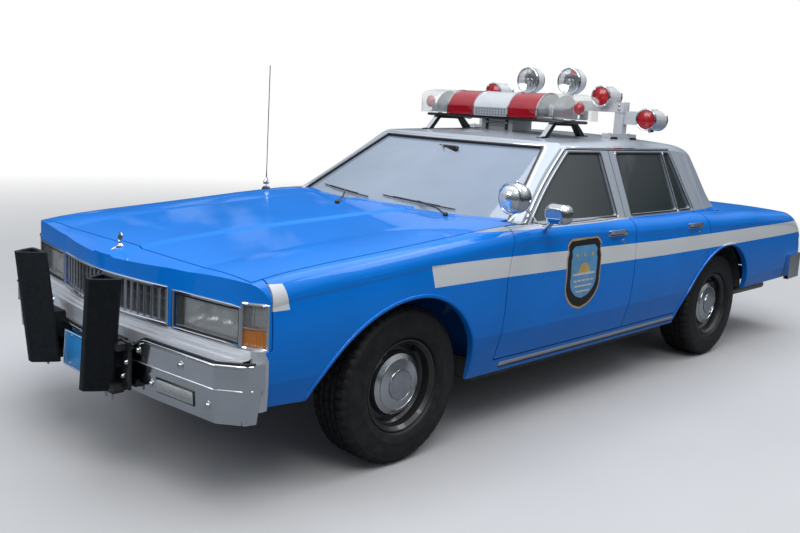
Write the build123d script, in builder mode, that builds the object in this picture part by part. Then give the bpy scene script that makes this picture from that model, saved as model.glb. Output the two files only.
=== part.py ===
from build123d import *
import math
import os

# Patrol car. Units are millimetres. X points forward, Y to the driver's left, Z up.
# The origin is on the ground, on the centre plane, midway between the axles.

# Running gear
wheelbase = 2946
track_front = 1570
track_rear = 1544
tyre_diameter = 696
tyre_width = 225
rim_diameter = 381
rim_width = 190
cap_diameter = 268
kingpin_inboard = 85
steer_limit = 33
frame_rail_width = 70
frame_rail_height = 95

# Body
wall = 30
lid_thickness = 20
door_skin = 14
pillar_depth = 38
glass = 5
glass_recess = 10
panel_gap = 6.5
door_gap = 8
same_body_gap = 2
sill_bottom = 300
door_bottom = 372
belt = 985
window_bottom = 1004
floor_top = 306
door_body_top = 1003
pillar_foot = 951
window_top = 1334
rail = 1356
crease = 505
hood_half = 862
deck_half = 800

# Places along the car
axle_front = wheelbase / 2
axle_rear = -wheelbase / 2
hub_height = tyre_diameter / 2
hood_front = 2268
fender_front = 2228
cowl_corner = 735
cowl_bow = 115
door_front = 884
door_split = -257
hinge_setback = 60
hinge_y = 945
deck_front = -1765
tail = -2800

# Lower body stations: x, half width, height of the top edge, height at the crown,
# half width of the raised spine, height of its step.
LOWER = [
    (2440, 926, 838, 850, 60, 8),
    (2268, 938, 880, 893, 75, 9),
    (1473, 953, 952, 972, 150, 9),
    (830, 957, 1000, 1014, 215, 9),
    (-200, 959, 990, 1002, 215, 2),
    (-1150, 956, 975, 988, 215, 2),
    (-1700, 950, 956, 972, 215, 2),
    (-2150, 940, 940, 956, 215, 2),
    (-2514, 930, 922, 938, 215, 2),
    (-2720, 920, 870, 884, 215, 2),
    (-2830, 912, 740, 752, 215, 2),
]

# Greenhouse stations: x, half width at the belt, half width and height of the
# roof rail, height of the roof on the centre line.
UPPER = [
    (900, 868, 640, 1310, 1322),
    (575, 876, 656, 1332, 1356),
    (250, 884, 674, 1350, 1386),
    (0, 885, 704, 1354, 1410),
    (-257, 884, 720, 1354, 1426),
    (-480, 882, 724, 1354, 1432),
    (-700, 878, 721, 1354, 1433),
    (-900, 870, 713, 1353, 1429),
    (-1100, 858, 700, 1348, 1418),
    (-1350, 828, 668, 1318, 1378),
    (-1480, 806, 642, 1262, 1320),
    (-1800, 752, 590, 1010, 1060),
]

# Windshield and rear window: centre of the base, its height, rake from level, bow radius
windshield_base = 840
windshield_foot = 990
windshield_rake = 32.1
windshield_bow = 2375
backlight_base = -1665
backlight_rake = 52
backlight_bow = 4200
backlight_top = 1290
screen_level = 993

os.makedirs("parts", exist_ok=True)


def save(piece, node):
    piece.part.label = node
    export_step(piece.part, f"parts/{node}.step")


def save_pair(piece, node):
    """Write a left piece and its mirror image on the right."""
    save(piece, f"{node}_left")
    with BuildPart() as right:
        mirror(piece.part, about=Plane.XZ)
    save(right, f"{node}_right")


def block(x, y, z):
    """A box given by its two ends along each axis."""
    with BuildPart() as box:
        with BuildSketch(Plane.XY.offset(z[0])):
            with Locations(((x[0] + x[1]) / 2, (y[0] + y[1]) / 2)):
                Rectangle(x[1] - x[0], y[1] - y[0])
        extrude(amount=z[1] - z[0])
    return box.part


def side_prism(points, y, corner=0):
    """An outline in x and z, its corners rounded if asked, carried across from y[0] to y[1]."""
    with BuildPart() as prism:
        with BuildSketch(Plane.XZ.offset(-y[0])) as outline:
            with BuildLine():
                Polyline(*points, close=True)
            make_face()
            if corner:
                fillet(outline.vertices(), radius=corner)
        extrude(amount=y[0] - y[1])
    return prism.part


def front_prism(points, x):
    """An outline in y and z, carried along from x[0] to x[1]."""
    with BuildPart() as prism:
        with BuildSketch(Plane.YZ.offset(x[0])):
            with BuildLine():
                Polyline(*points, close=True)
            make_face()
        extrude(amount=x[1] - x[0])
    return prism.part


def both(part):
    """A half part joined to its mirror image."""
    with BuildPart() as whole:
        add(part)
        mirror(part, about=Plane.XZ)
    return whole.part


def lower_body(inset):
    """Left half of the lower body's outside, or of a body smaller by the inset all round."""
    low = sill_bottom if inset == 0 else sill_bottom - 50
    with BuildPart() as body:
        for x, half, edge, crown, spine, step in LOWER:
            side = half - inset
            top = edge - inset
            roof = crown - inset
            shoulder = top - 95
            with BuildSketch(Plane.YZ.offset(x)):
                with BuildLine():
                    floor = Line((0, low), (side - 72, low))
                    sill = Line(floor @ 1, (side - 14, crease))
                    flank = ThreePointArc(sill @ 1, (side, (crease + shoulder) / 2), (side - 8, shoulder))
                    round_over = ThreePointArc(flank @ 1, (side - 27, top - 25), (side - 72, top))
                    outer = ThreePointArc(
                        round_over @ 1, (0.8 * side - 20, (top + roof) / 2), (0.6 * side, roof - step - 1)
                    )
                    flat = Line(outer @ 1, (spine + 22, roof - step))
                    rise = Line(flat @ 1, (spine, roof))
                    middle = Line(rise @ 1, (0, roof))
                    Line(middle @ 1, (0, low))
                make_face()
        loft()
    return body.part


def greenhouse(inset):
    """Left half of the upper body's outside, or of one smaller by the inset."""
    low = belt - 55 - inset
    with BuildPart() as upper:
        for x, base, rail_y, rail_z, crown in UPPER:
            side = base - inset
            edge = rail_y - inset
            with BuildSketch(Plane.YZ.offset(x)):
                with BuildLine():
                    floor = Line((0, low), (side + 14, low))
                    flank = Line(floor @ 1, (edge, rail_z - inset / 2))
                    corner = ThreePointArc(
                        flank @ 1,
                        (edge - 18, rail_z + 20 - inset * 0.8),
                        (edge - 70, rail_z + (crown - rail_z) * 0.5 + 8 - inset),
                    )
                    dome = ThreePointArc(
                        corner @ 1,
                        ((edge - 70) / 2, rail_z + (crown - rail_z) * 0.87 + 2 - inset),
                        (0, crown - inset),
                    )
                    Line(dome @ 1, (0, low))
                make_face()
        loft()
    return upper.part


def screen_space(base, rake, bow, inset, forward):
    """All that lies behind the windshield, or ahead of the rear window, less the inset."""
    run = 700
    shift = inset / math.sin(math.radians(rake))
    front = base - forward * shift
    half = 1000
    drop = bow - math.sqrt(bow**2 - half**2)
    with BuildPart() as space:
        with BuildSketch(Plane.XY.offset(screen_level - 150)):
            start = front + forward * 150 / math.tan(math.radians(rake))
            far = start - forward * 4000
            with BuildLine():
                bow_line = ThreePointArc(
                    (start - forward * drop, -half), (start, 0), (start - forward * drop, half)
                )
                Polyline(bow_line @ 1, (far, half), (far, -half), bow_line @ 0)
            make_face()
        lean = (-forward * math.cos(math.radians(rake)), 0, math.sin(math.radians(rake)))
        extrude(amount=run / math.sin(math.radians(rake)), dir=lean)
    return space.part


def ahead_of_cowl(shift, z):
    """All that lies ahead of the hood's bowed rear edge, that edge moved back by the shift."""
    with BuildPart() as space:
        with BuildSketch(Plane.XY.offset(z[0])):
            corner = cowl_corner - shift
            with BuildLine():
                rear_edge = ThreePointArc((corner, -hood_half), (corner + cowl_bow, 0), (corner, hood_half))
                Polyline(rear_edge @ 1, (hood_front, hood_half), (hood_front, -hood_half), rear_edge @ 0)
            make_face()
        extrude(amount=z[1] - z[0])
    return space.part


def cabin(inset):
    """Left half of the cabin above the belt, between its two screens."""
    with BuildPart() as room:
        add(greenhouse(inset))
        front = screen_space(windshield_base, windshield_rake, windshield_bow, inset, 1)
        add(front, mode=Mode.INTERSECT)
        rear = screen_space(backlight_base, backlight_rake, backlight_bow, inset, -1)
        add(rear, mode=Mode.INTERSECT)
    return room.part


def arch_space(axle, ahead, behind, top, low=0):
    """A wheel arch opening: one arc each side of the axle, both level at the top."""
    front_radius = (ahead[0] ** 2 + (top - ahead[1]) ** 2) / (2 * (top - ahead[1]))
    rear_radius = (behind[0] ** 2 + (top - behind[1]) ** 2) / (2 * (top - behind[1]))
    with BuildPart() as space:
        with BuildSketch(Plane.XZ.offset(-500)):
            with BuildLine():
                front = CenterArc((axle, top - front_radius), front_radius, 0, 90)
                rear = CenterArc((axle, top - rear_radius), rear_radius, 90, 90)
                Polyline(rear @ 1, (rear @ 1 - Vector(0, top)), (front @ 0 - Vector(0, top)), front @ 0)
            make_face()
        extrude(amount=-600)
    return space.part


# Shared envelopes
outer_body = lower_body(0)
wall_inside = lower_body(wall)
lid_inside = lower_body(lid_thickness)
cabin_outside = cabin(0)
cabin_inside = cabin(pillar_depth)

with BuildPart() as side_wall:
    add(outer_body)
    add(wall_inside, mode=Mode.SUBTRACT)

with BuildPart() as lid_skin:
    add(outer_body)
    add(lid_inside, mode=Mode.SUBTRACT)

with BuildPart() as cabin_shell:
    add(cabin_outside)
    add(cabin_inside, mode=Mode.SUBTRACT)

with BuildPart() as glass_shell:
    add(cabin(glass_recess))
    add(cabin(glass_recess + glass), mode=Mode.SUBTRACT)

front_arch = arch_space(axle_front, (552, 410), (366, 527), 747)
rear_arch = arch_space(axle_rear, (480, 507), (365, 520), 757)

# Upper body outlines seen from the side, each lying in the slope of the pillar beside it
pillar_slope = 1.45
front_glass_foot = 578
rear_glass_foot = -1087
rear_slope = -0.376
split_front_glass = -177
split_rear_glass = -335
vent_bar = (-893, -921)
frame_top = rail - panel_gap + 0.5
door_inner_y = 830
edge_relief = 14
frame_inner = 636
rear_frame_inner = 672
pillar_rear_edge = door_split - 5
pillar_width = 60
rear_deck_edge = deck_front + panel_gap


def front_line(z, ahead):
    """Place along X of the front pillar's slope at a height, so far ahead of the glass."""
    return front_glass_foot - (z - window_bottom) * pillar_slope + ahead


def rear_line(z, behind):
    """Place along X of the rear pillar's slope at a height, so far behind the glass."""
    return rear_glass_foot - (z - window_bottom) * rear_slope - behind


front_window = [
    (front_line(window_bottom, 0), window_bottom),
    (front_line(window_top, 0), window_top),
    (split_front_glass, window_top),
    (split_front_glass, window_bottom),
]
rear_window_pane = [
    (split_rear_glass, window_bottom),
    (split_rear_glass, window_top),
    (vent_bar[0] + 20, window_top),
    (vent_bar[0], window_bottom),
]
vent_pane = [
    (vent_bar[1], window_bottom),
    (vent_bar[1] + 20, window_top),
    (rear_line(window_top, 0), window_top),
    (rear_line(window_bottom, 0), window_bottom),
]
front_frame = [
    (front_line(belt - 10, 35), belt - 10),
    (front_line(frame_top, 35), frame_top),
    (door_split, frame_top),
    (door_split, belt - 10),
]
rear_frame = [
    (door_split - door_gap, belt - 10),
    (door_split - door_gap, frame_top),
    (rear_line(frame_top, 26), frame_top),
    (rear_line(belt - 10, 26), belt - 10),
]

# Front door: rear edge upright, leading edge swept back above the waist
front_door_skin = [
    (door_front, door_bottom),
    (door_front, 760),
    (door_front - 54, 1000),
    (door_front - 54, door_body_top),
    (door_split, door_body_top),
    (door_split, door_bottom),
]
hinge_front = door_front - hinge_setback
hinge_rear = door_split - door_gap - hinge_setback
rear_door_skin = [
    (door_split - door_gap, door_bottom),
    (door_split - door_gap, door_body_top),
    (-1119, door_body_top),
    (-1119, belt),
    (-1188, 854),
    (-1155, 702),
    (-1085, 655),
    (-1024, 600),
    (-960, 515),
    (-915, 430),
    (-890, door_bottom),
]


def rear_strip(prism):
    """The strip along a prism's rear edges that the inner part of a door leaves free to swing."""
    with BuildPart() as strip:
        add(prism)
        add(Pos(edge_relief, 0, 0) * prism, mode=Mode.SUBTRACT)
    return strip.part


def door(skin, hinge_x, frame, inner, panes, notch):
    """A whole door: thick body behind the hinge line, thin skin ahead of it, window frame above."""
    skin_prism = side_prism(skin, (door_inner_y, 1000))
    frame_prism = side_prism(frame, (inner, 1000))
    with BuildPart() as inner_edge:
        add(lower_body(door_skin))
        add(rear_strip(skin_prism), mode=Mode.INTERSECT)
    with BuildPart() as inner_frame_edge:
        add(cabin(door_skin))
        add(rear_strip(frame_prism), mode=Mode.INTERSECT)
    with BuildPart() as hollow:
        add(lower_body(door_skin))
        add(block((hinge_x - 3, hinge_x + 200), (0, 1000), (0, 1200)), mode=Mode.INTERSECT)
    with BuildPart() as surround:
        add(cabin_shell.part)
        add(frame_prism, mode=Mode.INTERSECT)
        add(inner_frame_edge.part, mode=Mode.SUBTRACT)
        for pane in panes:
            add(side_prism(pane, (frame_inner, 1000), corner=14), mode=Mode.SUBTRACT)
    with BuildPart() as leaf:
        add(outer_body)
        add(skin_prism, mode=Mode.INTERSECT)
        add(inner_edge.part, mode=Mode.SUBTRACT)
        add(hollow.part, mode=Mode.SUBTRACT)
        for cut in notch:
            add(cut, mode=Mode.SUBTRACT)
        add(surround.part)
    return leaf


def pane_glass(panes):
    """Door glass that fills its window openings."""
    openings = [side_prism(pane, (frame_inner, 1000), corner=14) for pane in panes]
    with BuildPart() as sheets:
        for opening in openings:
            add(opening)
        add(glass_shell.part, mode=Mode.INTERSECT)
    return sheets


pillar_notch = block((560, 725), (0, 888), (935, 1100))
strip_notch = block((725, door_front), (0, 876), (935, 1100))

front_notches = [pillar_notch, strip_notch]
front_door = door(front_door_skin, hinge_front, front_frame, frame_inner, [front_window], front_notches)
rear_panes = [rear_window_pane, vent_pane]
rear_door = door(rear_door_skin, hinge_rear, rear_frame, rear_frame_inner, rear_panes, [])
front_glass = pane_glass([front_window])
rear_glass = pane_glass(rear_panes)
for piece, node in (
    (front_door, "door_front"),
    (rear_door, "door_rear"),
    (front_glass, "glass_front"),
    (rear_glass, "glass_rear"),
):
    save_pair(piece, node)


# Panel between the rear window and the lid, with the parcel shelf behind the seat
with BuildPart() as rear_deck:
    add(both(side_wall.part))
    add(block((rear_deck_edge, -1500), (-deck_half, deck_half), (700, 1100)), mode=Mode.INTERSECT)
    shelf_cut = screen_space(backlight_base, backlight_rake, backlight_bow, glass_recess, -1)
    add(shelf_cut, mode=Mode.SUBTRACT)
    add(block((-1740, -1240), (-760, 760), (905, 945)))
save(rear_deck, "rear_deck")

windshield_opening = front_prism(
    [(0, windshield_foot), (787, windshield_foot), (592, rail), (0, rail)], (100, 1000)
)


# Body sides: front pillar, hinge pillar, sill, centre pillar, rear pillar and quarter
def body_side():
    front_pillar = side_prism(
        [
            (front_line(windshield_foot, 47), windshield_foot),
            (front_line(rail, 47), rail),
            (900, rail),
            (900, windshield_foot),
        ],
        (500, 1000),
    )
    with BuildPart() as a_pillar:
        add(cabin_shell.part)
        add(front_pillar, mode=Mode.INTERSECT)
        add(windshield_opening, mode=Mode.SUBTRACT)
    with BuildPart() as foot:
        add(outer_body)
        add(block((664, cowl_corner - 18), (794, 868), (941, 1100)), mode=Mode.INTERSECT)
    with BuildPart() as sill:
        add(outer_body)
        sill_top = door_bottom - panel_gap
        add(block((-912, door_front + panel_gap), (770, 1000), (0, sill_top)), mode=Mode.INTERSECT)
    rear_pillar = [(-1175, pillar_foot), (-1160, pillar_foot + 21)]
    rear_pillar += [(rear_line(pillar_foot + 21, 34), pillar_foot + 21), (rear_line(rail, 34), rail)]
    rear_pillar += roof_edge[1:] + [(roof_edge[-1][0], pillar_foot)]
    with BuildPart() as c_pillar:
        add(cabin_shell.part)
        add(side_prism(rear_pillar, (0, 1000)), mode=Mode.INTERSECT)
        add(backlight_opening, mode=Mode.SUBTRACT)
        add(rear_deck.part, mode=Mode.SUBTRACT)
    quarter_outline = [
        (-1195, 854),
        (-1128, belt),
        (-1128, 1040),
        (-2755, 1040),
        (-2755, 425),
        (-1870, 425),
        (-1800, sill_bottom),
        (-912, sill_bottom),
        (-912, door_bottom - panel_gap),
        (-897, door_bottom - panel_gap),
        (-922, 429),
        (-966, 513),
        (-1030, 597),
        (-1090, 651),
        (-1161, 698),
    ]
    with BuildPart() as quarter:
        add(side_wall.part)
        add(side_prism(quarter_outline, (deck_half + panel_gap, 1000)), mode=Mode.INTERSECT)
        add(rear_arch, mode=Mode.SUBTRACT)
    with BuildPart() as b_pillar:
        add(greenhouse(pillar_depth + 6))
        add(greenhouse(pillar_depth + 42), mode=Mode.SUBTRACT)
        pillar_run = (pillar_rear_edge, pillar_rear_edge + pillar_width)
        add(block(pillar_run, (500, 1000), (962, rail)), mode=Mode.INTERSECT)
    with BuildPart() as side:
        add(a_pillar.part)
        add(foot.part)
        add(block((door_front - 48, door_front + 46), (775, 855), (sill_bottom, 930)))
        add(block((606, door_front + 46), (775, 820), (880, 952)))
        add(sill.part)
        add(block((-320, -200), (775, door_inner_y - 6), (sill_bottom, 968)))
        add(b_pillar.part)
        add(quarter.part)
        add(c_pillar.part)
    return side


roof_edge = [(1000, rail), (-1000, rail), (-1330, backlight_top), (-1900, backlight_top)]
backlight_opening = front_prism(
    [(0, 950), (645, 950), (655, 968), (560, backlight_top), (0, backlight_top)], (-1900, -1150)
)
left_side = body_side()
save_pair(left_side, "body_side")

with BuildPart() as half_roof:
    add(cabin_shell.part)
    add(side_prism(roof_edge + [(-1900, 1500), (1000, 1500)], (0, 1000)), mode=Mode.INTERSECT)
with BuildPart() as roof:
    add(both(half_roof.part))
save(roof, "roof")


def screen(base, rake, bow, forward, opening):
    """A bent pane that fills the left half of its opening, mirrored to the right."""
    with BuildPart() as half:
        add(screen_space(base, rake, bow, glass_recess, forward))
        add(opening, mode=Mode.INTERSECT)
        add(screen_space(base, rake, bow, glass_recess + glass, forward), mode=Mode.SUBTRACT)
    with BuildPart() as pane:
        add(both(half.part))
    return pane


save(screen(windshield_base, windshield_rake, windshield_bow, 1, windshield_opening), "windshield")
save(screen(backlight_base, backlight_rake, backlight_bow, -1, backlight_opening), "rear_window")

# Fenders
with BuildPart() as fender:
    add(side_wall.part)
    edge = door_front + panel_gap
    fender_outline = [
        (edge, sill_bottom),
        (edge, 761),
        (edge - 54, 1001),
        (edge - 54, 1040),
        (fender_front - panel_gap, 1040),
        (fender_front - panel_gap, 636),
        (2250, 636),
        (2250, 417),
        (2000, 400),
        (1200, 345),
        (1065, sill_bottom),
    ]
    add(side_prism(fender_outline, (hood_half + panel_gap, 1000)), mode=Mode.INTERSECT)
    add(front_arch, mode=Mode.SUBTRACT)
save_pair(fender, "fender")

# Hood, its rear edge bowed like the windshield
with BuildPart() as hood:
    add(both(lid_skin.part))
    add(ahead_of_cowl(0, (700, 1100)), mode=Mode.INTERSECT)
save(hood, "hood")

# Trunk lid, rolled down at the tail
with BuildPart() as trunk_lid:
    add(both(lid_skin.part))
    add(block((-2900, deck_front), (-deck_half, deck_half), (800, 1100)), mode=Mode.INTERSECT)
save(trunk_lid, "trunk_lid")

# Rear panel with the lamp openings
lamp_in = 430
plate_height = 690
plate_hole = 3.2
lamp_out = 880
with BuildPart() as rear_panel:
    add(both(outer_body))
    add(block((tail, -2755 - 0.5), (-1000, 1000), (440, 794)), mode=Mode.INTERSECT)
    for side in (1, -1):
        ends = sorted((side * lamp_in, side * lamp_out))
        add(block((tail - 50, -2700), ends, (634, 751)), mode=Mode.SUBTRACT)
    with BuildSketch(Plane.YZ.offset(tail - 20)):
        with Locations((0, plate_height)):
            with GridLocations(177.8, 120.65, 2, 2):
                Circle(plate_hole)
    extrude(amount=100, mode=Mode.SUBTRACT)
save(rear_panel, "rear_panel")

with BuildPart() as tail_lamps:
    for side in (1, -1):
        ends = sorted((side * (lamp_in + 1), side * (lamp_out - 1)))
        add(block((tail - 6, tail + 24), ends, (635, 750)))
save(tail_lamps, "tail_lamps")


# Nose: everything behind the V-shaped front face, less an inset
def nose_space(inset, z):
    with BuildPart() as space:
        with BuildSketch(Plane.XY.offset(z[0])):
            with BuildLine():
                left = [(0, 2402), (225, 2382), (440, 2346), (640, 2321), (831, 2290)]
                inner = ThreePointArc(*[(x - inset, y) for y, x in left[:3]])
                outer = ThreePointArc(*[(x - inset, y) for y, x in left[2:]])
                corner = ThreePointArc(outer @ 1, (2268 - inset, 895), (2222 - inset, 945))
                Polyline(corner @ 1, (1800, 945), (1800, 0), (2402 - inset, 0))
            make_face()
        extrude(amount=z[1] - z[0])
    return space.part


lamp_bottom = 645
lamp_top = 780
lamp_inner = 473
lamp_split = 833
grille_half = 431
grille_bottom = 650
grille_top = 785
header_bottom = 640

with BuildPart() as half_header:
    add(outer_body)
    add(nose_space(0, (header_bottom, 1000)), mode=Mode.INTERSECT)
    add(block((fender_front, 2500), (0, 1000), (header_bottom, 1000)), mode=Mode.INTERSECT)
    lip = block((fender_front, hood_front + panel_gap), (-1, hood_half + panel_gap), (842 - panel_gap, 1000))
    add(lip, mode=Mode.SUBTRACT)
with BuildPart() as header_hollow:
    add(wall_inside)
    add(nose_space(50, (600, 1000)), mode=Mode.INTERSECT)
with BuildPart() as header_openings:
    add(block((2100, 2500), (-1, grille_half), (grille_bottom, grille_top)))
    add(block((2100, 2500), (lamp_inner, lamp_split), (lamp_bottom, lamp_top)))
    add(block((fender_front + 12, 2500), (lamp_split + 5, 1000), (lamp_bottom, lamp_top + 20)))
with BuildPart() as header_panel:
    add(half_header.part)
    add(header_hollow.part, mode=Mode.SUBTRACT)
    add(header_openings.part, mode=Mode.SUBTRACT)
    mirror(about=Plane.XZ)
save(header_panel, "header_panel")

# Grille: broad upright bars on a band that follows the nose, with three tiers set back between them
with BuildPart() as grille_band:
    add(nose_space(6, (grille_bottom + 1, grille_top - 1)))
    add(nose_space(30, (600, 900)), mode=Mode.SUBTRACT)
    add(block((2200, 2500), (0, grille_half - 1), (600, 900)), mode=Mode.INTERSECT)
bar_count = 10
bar_width = 18
bar_pitch = (grille_half - 11) / bar_count
bar_gap = bar_pitch - bar_width
tier_count = 3
tier = (grille_top - grille_bottom - 12) / tier_count
tier_line = 5
tier_depth = 16
bars_middle = (bar_pitch * bar_count / 2, (grille_top + grille_bottom) / 2)
with BuildPart() as grille_windows:
    with BuildSketch(Plane.YZ.offset(2300)):
        with Locations(bars_middle):
            with GridLocations(bar_pitch, tier, bar_count, tier_count):
                Rectangle(bar_gap, tier - tier_line)
    extrude(amount=200)
with BuildPart() as grille_slots:
    with BuildSketch(Plane.YZ.offset(2300)):
        with Locations(bars_middle):
            with GridLocations(bar_pitch, tier, bar_count, 1):
                Rectangle(bar_gap, tier * tier_count - tier_line)
    extrude(amount=200)
    add(nose_space(tier_depth, (600, 900)), mode=Mode.SUBTRACT)
with BuildPart() as grille:
    add(grille_band.part)
    add(grille_windows.part, mode=Mode.SUBTRACT)
    add(grille_slots.part, mode=Mode.SUBTRACT)
    mirror(about=Plane.XZ)
save(grille, "grille")

# Head lamps and corner lamps
with BuildPart() as lamp_band:
    add(nose_space(5, (lamp_bottom + 1, lamp_top + 19)))
    add(nose_space(44, (600, 900)), mode=Mode.SUBTRACT)
with BuildPart() as lens:
    add(lamp_band.part)
    add(block((2200, 2500), (lamp_inner + 1, lamp_split - 1), (0, lamp_top - 1)), mode=Mode.INTERSECT)
with BuildPart() as corner_lamp:
    add(lamp_band.part)
    add(lower_body(5), mode=Mode.INTERSECT)
    add(block((fender_front + 13, 2500), (lamp_split + 6, 1000), (0, lamp_top + 19)), mode=Mode.INTERSECT)
with BuildPart() as front_lamps:
    add(lens.part)
    add(corner_lamp.part)
    mirror(about=Plane.XZ)
save(front_lamps, "front_lamps")


# Front bumper: a face bar bent round the corners, its lower half set back, its middle lowered
front_bumper_plan = [
    (2483, 0),
    (2443, 500),
    (2404, 845),
    (2330, 940),
    (2262, 955),
    (2262, -955),
    (2330, -940),
    (2404, -845),
    (2443, -500),
]
bumper_top = 598
bumper_middle = 543
bumper_step = 500
bumper_low = 372
bumper_sheet = 30


def bumper_plan(inset, level, height, lean=0):
    """The bumper's plan, drawn in by the inset and carried up or down from a level."""
    with BuildPart() as bar:
        with BuildSketch(Plane.XY.offset(level)):
            with BuildLine():
                Polyline(*front_bumper_plan, close=True)
            make_face()
            if inset:
                offset(amount=-inset, kind=Kind.INTERSECTION)
        extrude(amount=height, taper=lean)
    return bar.part


with BuildPart() as bumper_hollow:
    add(bumper_plan(bumper_sheet + 8, 300, bumper_top - 8 - 300))
    add(block((2200, 2600), (-450, 450), (bumper_middle - 18, 700)), mode=Mode.SUBTRACT)
with BuildPart() as front_bumper:
    add(bumper_plan(0, bumper_step, bumper_top - bumper_step))
    add(bumper_plan(8, bumper_step + 1, bumper_low - bumper_step - 1, 4))
    middle = [(-430, bumper_top + 1), (-330, bumper_middle), (330, bumper_middle), (430, bumper_top + 1)]
    add(front_prism(middle, (2200, 2600)), mode=Mode.SUBTRACT)
    add(bumper_hollow.part, mode=Mode.SUBTRACT)
    add(block((2200, 2330), (-915, 915), (300, 700)), mode=Mode.SUBTRACT)
save(front_bumper, "front_bumper")

# Rear bumper: a channel wrapped round the tail
rear_bumper_plan = [(-2907, 0), (-2895, 700), (-2860, 870), (-2800, 935), (-2560, 950)]
rear_bumper_plan += [(x, -y) for x, y in reversed(rear_bumper_plan[1:])]
with BuildPart() as rear_bumper:
    with BuildSketch(Plane.XY.offset(420)):
        with BuildLine():
            Polyline(*rear_bumper_plan, close=True)
        make_face()
    extrude(amount=180)
    with BuildSketch(Plane.XY.offset(400)):
        with BuildLine():
            Polyline(*rear_bumper_plan, close=True)
        make_face()
        offset(amount=-17, kind=Kind.INTERSECTION)
    extrude(amount=190, mode=Mode.SUBTRACT)
    add(block((-2806, -2500), (-918, 918), (300, 700)), mode=Mode.SUBTRACT)
    add(both(lower_body(-same_body_gap)), mode=Mode.SUBTRACT)
save(rear_bumper, "rear_bumper")

# Push bars: hollow rubber pads on steel uprights bolted to the bumper
def pad_tube(wall_thickness):
    """A pad's outside, or the hollow inside its wall, leaning outward towards the top."""
    low_y, high_y = 235, 325
    with BuildPart() as tube:
        for z, y, x in ((bumper_low, low_y, 2495), (832, high_y, 2515)):
            with BuildSketch(Plane.XY.offset(z)) as section:
                with BuildLine():
                    flank = [(x, y + 82), (x + 60, y + 50), (x + 108, y + 18)]
                    Polyline(*flank, *[(px, 2 * y - py) for px, py in reversed(flank)], close=True)
                make_face()
                if wall_thickness:
                    offset(amount=-wall_thickness, kind=Kind.INTERSECTION)
                else:
                    fillet(section.vertices(), radius=14)
        loft(ruled=True)
    return tube.part


pad_wall = 20
with BuildPart() as push_bars:
    add(pad_tube(0))
    add(pad_tube(pad_wall), mode=Mode.SUBTRACT)
    add(block((2456, 2505), (210, 330), (470, 580)))
    add(front_bumper.part, mode=Mode.SUBTRACT)
    mirror(about=Plane.XZ)
save(push_bars, "push_bars")

# Cowl: the panel ahead of the windshield and the firewall under it
tunnel_half = 150
tunnel_top = 430
sheet = 6
with BuildPart() as firewall:
    add(ahead_of_cowl(panel_gap + 15, (floor_top, 1100)))
    add(ahead_of_cowl(panel_gap, (floor_top, 1100)), mode=Mode.SUBTRACT)
    add(both(lower_body(lid_thickness / 2)), mode=Mode.INTERSECT)
    add(block((600, 900), (-770, 770), (floor_top, 1100)), mode=Mode.INTERSECT)
    tunnel_mouth = tunnel_half + sheet + 1
    add(block((600, 900), (-tunnel_mouth, tunnel_mouth), (0, tunnel_top + sheet + 2)), mode=Mode.SUBTRACT)
with BuildPart() as cowl:
    add(both(lid_skin.part))
    add(block((640, 850), (-770, 770), (900, 1100)), mode=Mode.INTERSECT)
    add(ahead_of_cowl(panel_gap, (900, 1100)), mode=Mode.SUBTRACT)
    add(
        screen_space(windshield_base, windshield_rake, windshield_bow, glass_recess, 1),
        mode=Mode.SUBTRACT,
    )
    add(firewall.part)
save(cowl, "cowl")

# Floor: pan, kick-up over the axle, trunk floor and the wheelhouses
floor_line = [
    (840, floor_top),
    (840, floor_top - sheet),
    (-900, floor_top - sheet),
    (-1060, 530),
    (-1800, 530),
    (-1860, 430),
    (-2750, 430),
    (-2750, 436),
    (-1857, 436),
    (-1797, 536),
    (-1057, 536),
    (-897, floor_top),
]
tunnel_end = -1080


def tunnel(growth, x):
    """The tunnel's inside, or its outside when grown by the sheet's thickness."""
    half = tunnel_half + growth
    top = tunnel_top + growth
    points = [(half - 40, top), (half, top - 30), (half, 200)]
    return front_prism([(-y, z) for y, z in reversed(points)] + points, x)


with BuildPart() as hat:
    add(tunnel(sheet, (tunnel_end, 835)))
    add(block((tunnel_end - 10, 900), (-200, 200), (0, floor_top - sheet)), mode=Mode.SUBTRACT)
with BuildPart() as rear_house:
    add(arch_space(axle_rear, (500, 480), (385, 500), 775))
    add(arch_space(axle_rear, (494, 480), (379, 500), 769), mode=Mode.SUBTRACT)
    add(block((-2100, -800), (560, 883), (420, 900)), mode=Mode.INTERSECT)
    add(block((-1850, -1000), (554, 560), (524, 770)))
with BuildPart() as floor:
    add(side_prism(floor_line, (-768, 768)))
    for side in (1, -1):
        ends = sorted((side * 560, side * 800))
        add(block((-1860, -1060), ends, (200, 800)), mode=Mode.SUBTRACT)
    add(ahead_of_cowl(panel_gap, (0, 900)), mode=Mode.SUBTRACT)
    add(hat.part)
    add(tunnel(0, (tunnel_end - 10, 900)), mode=Mode.SUBTRACT)
    add(rear_house.part)
    add(mirror(rear_house.part, about=Plane.XZ, mode=Mode.PRIVATE))
save(floor, "floor")


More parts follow.
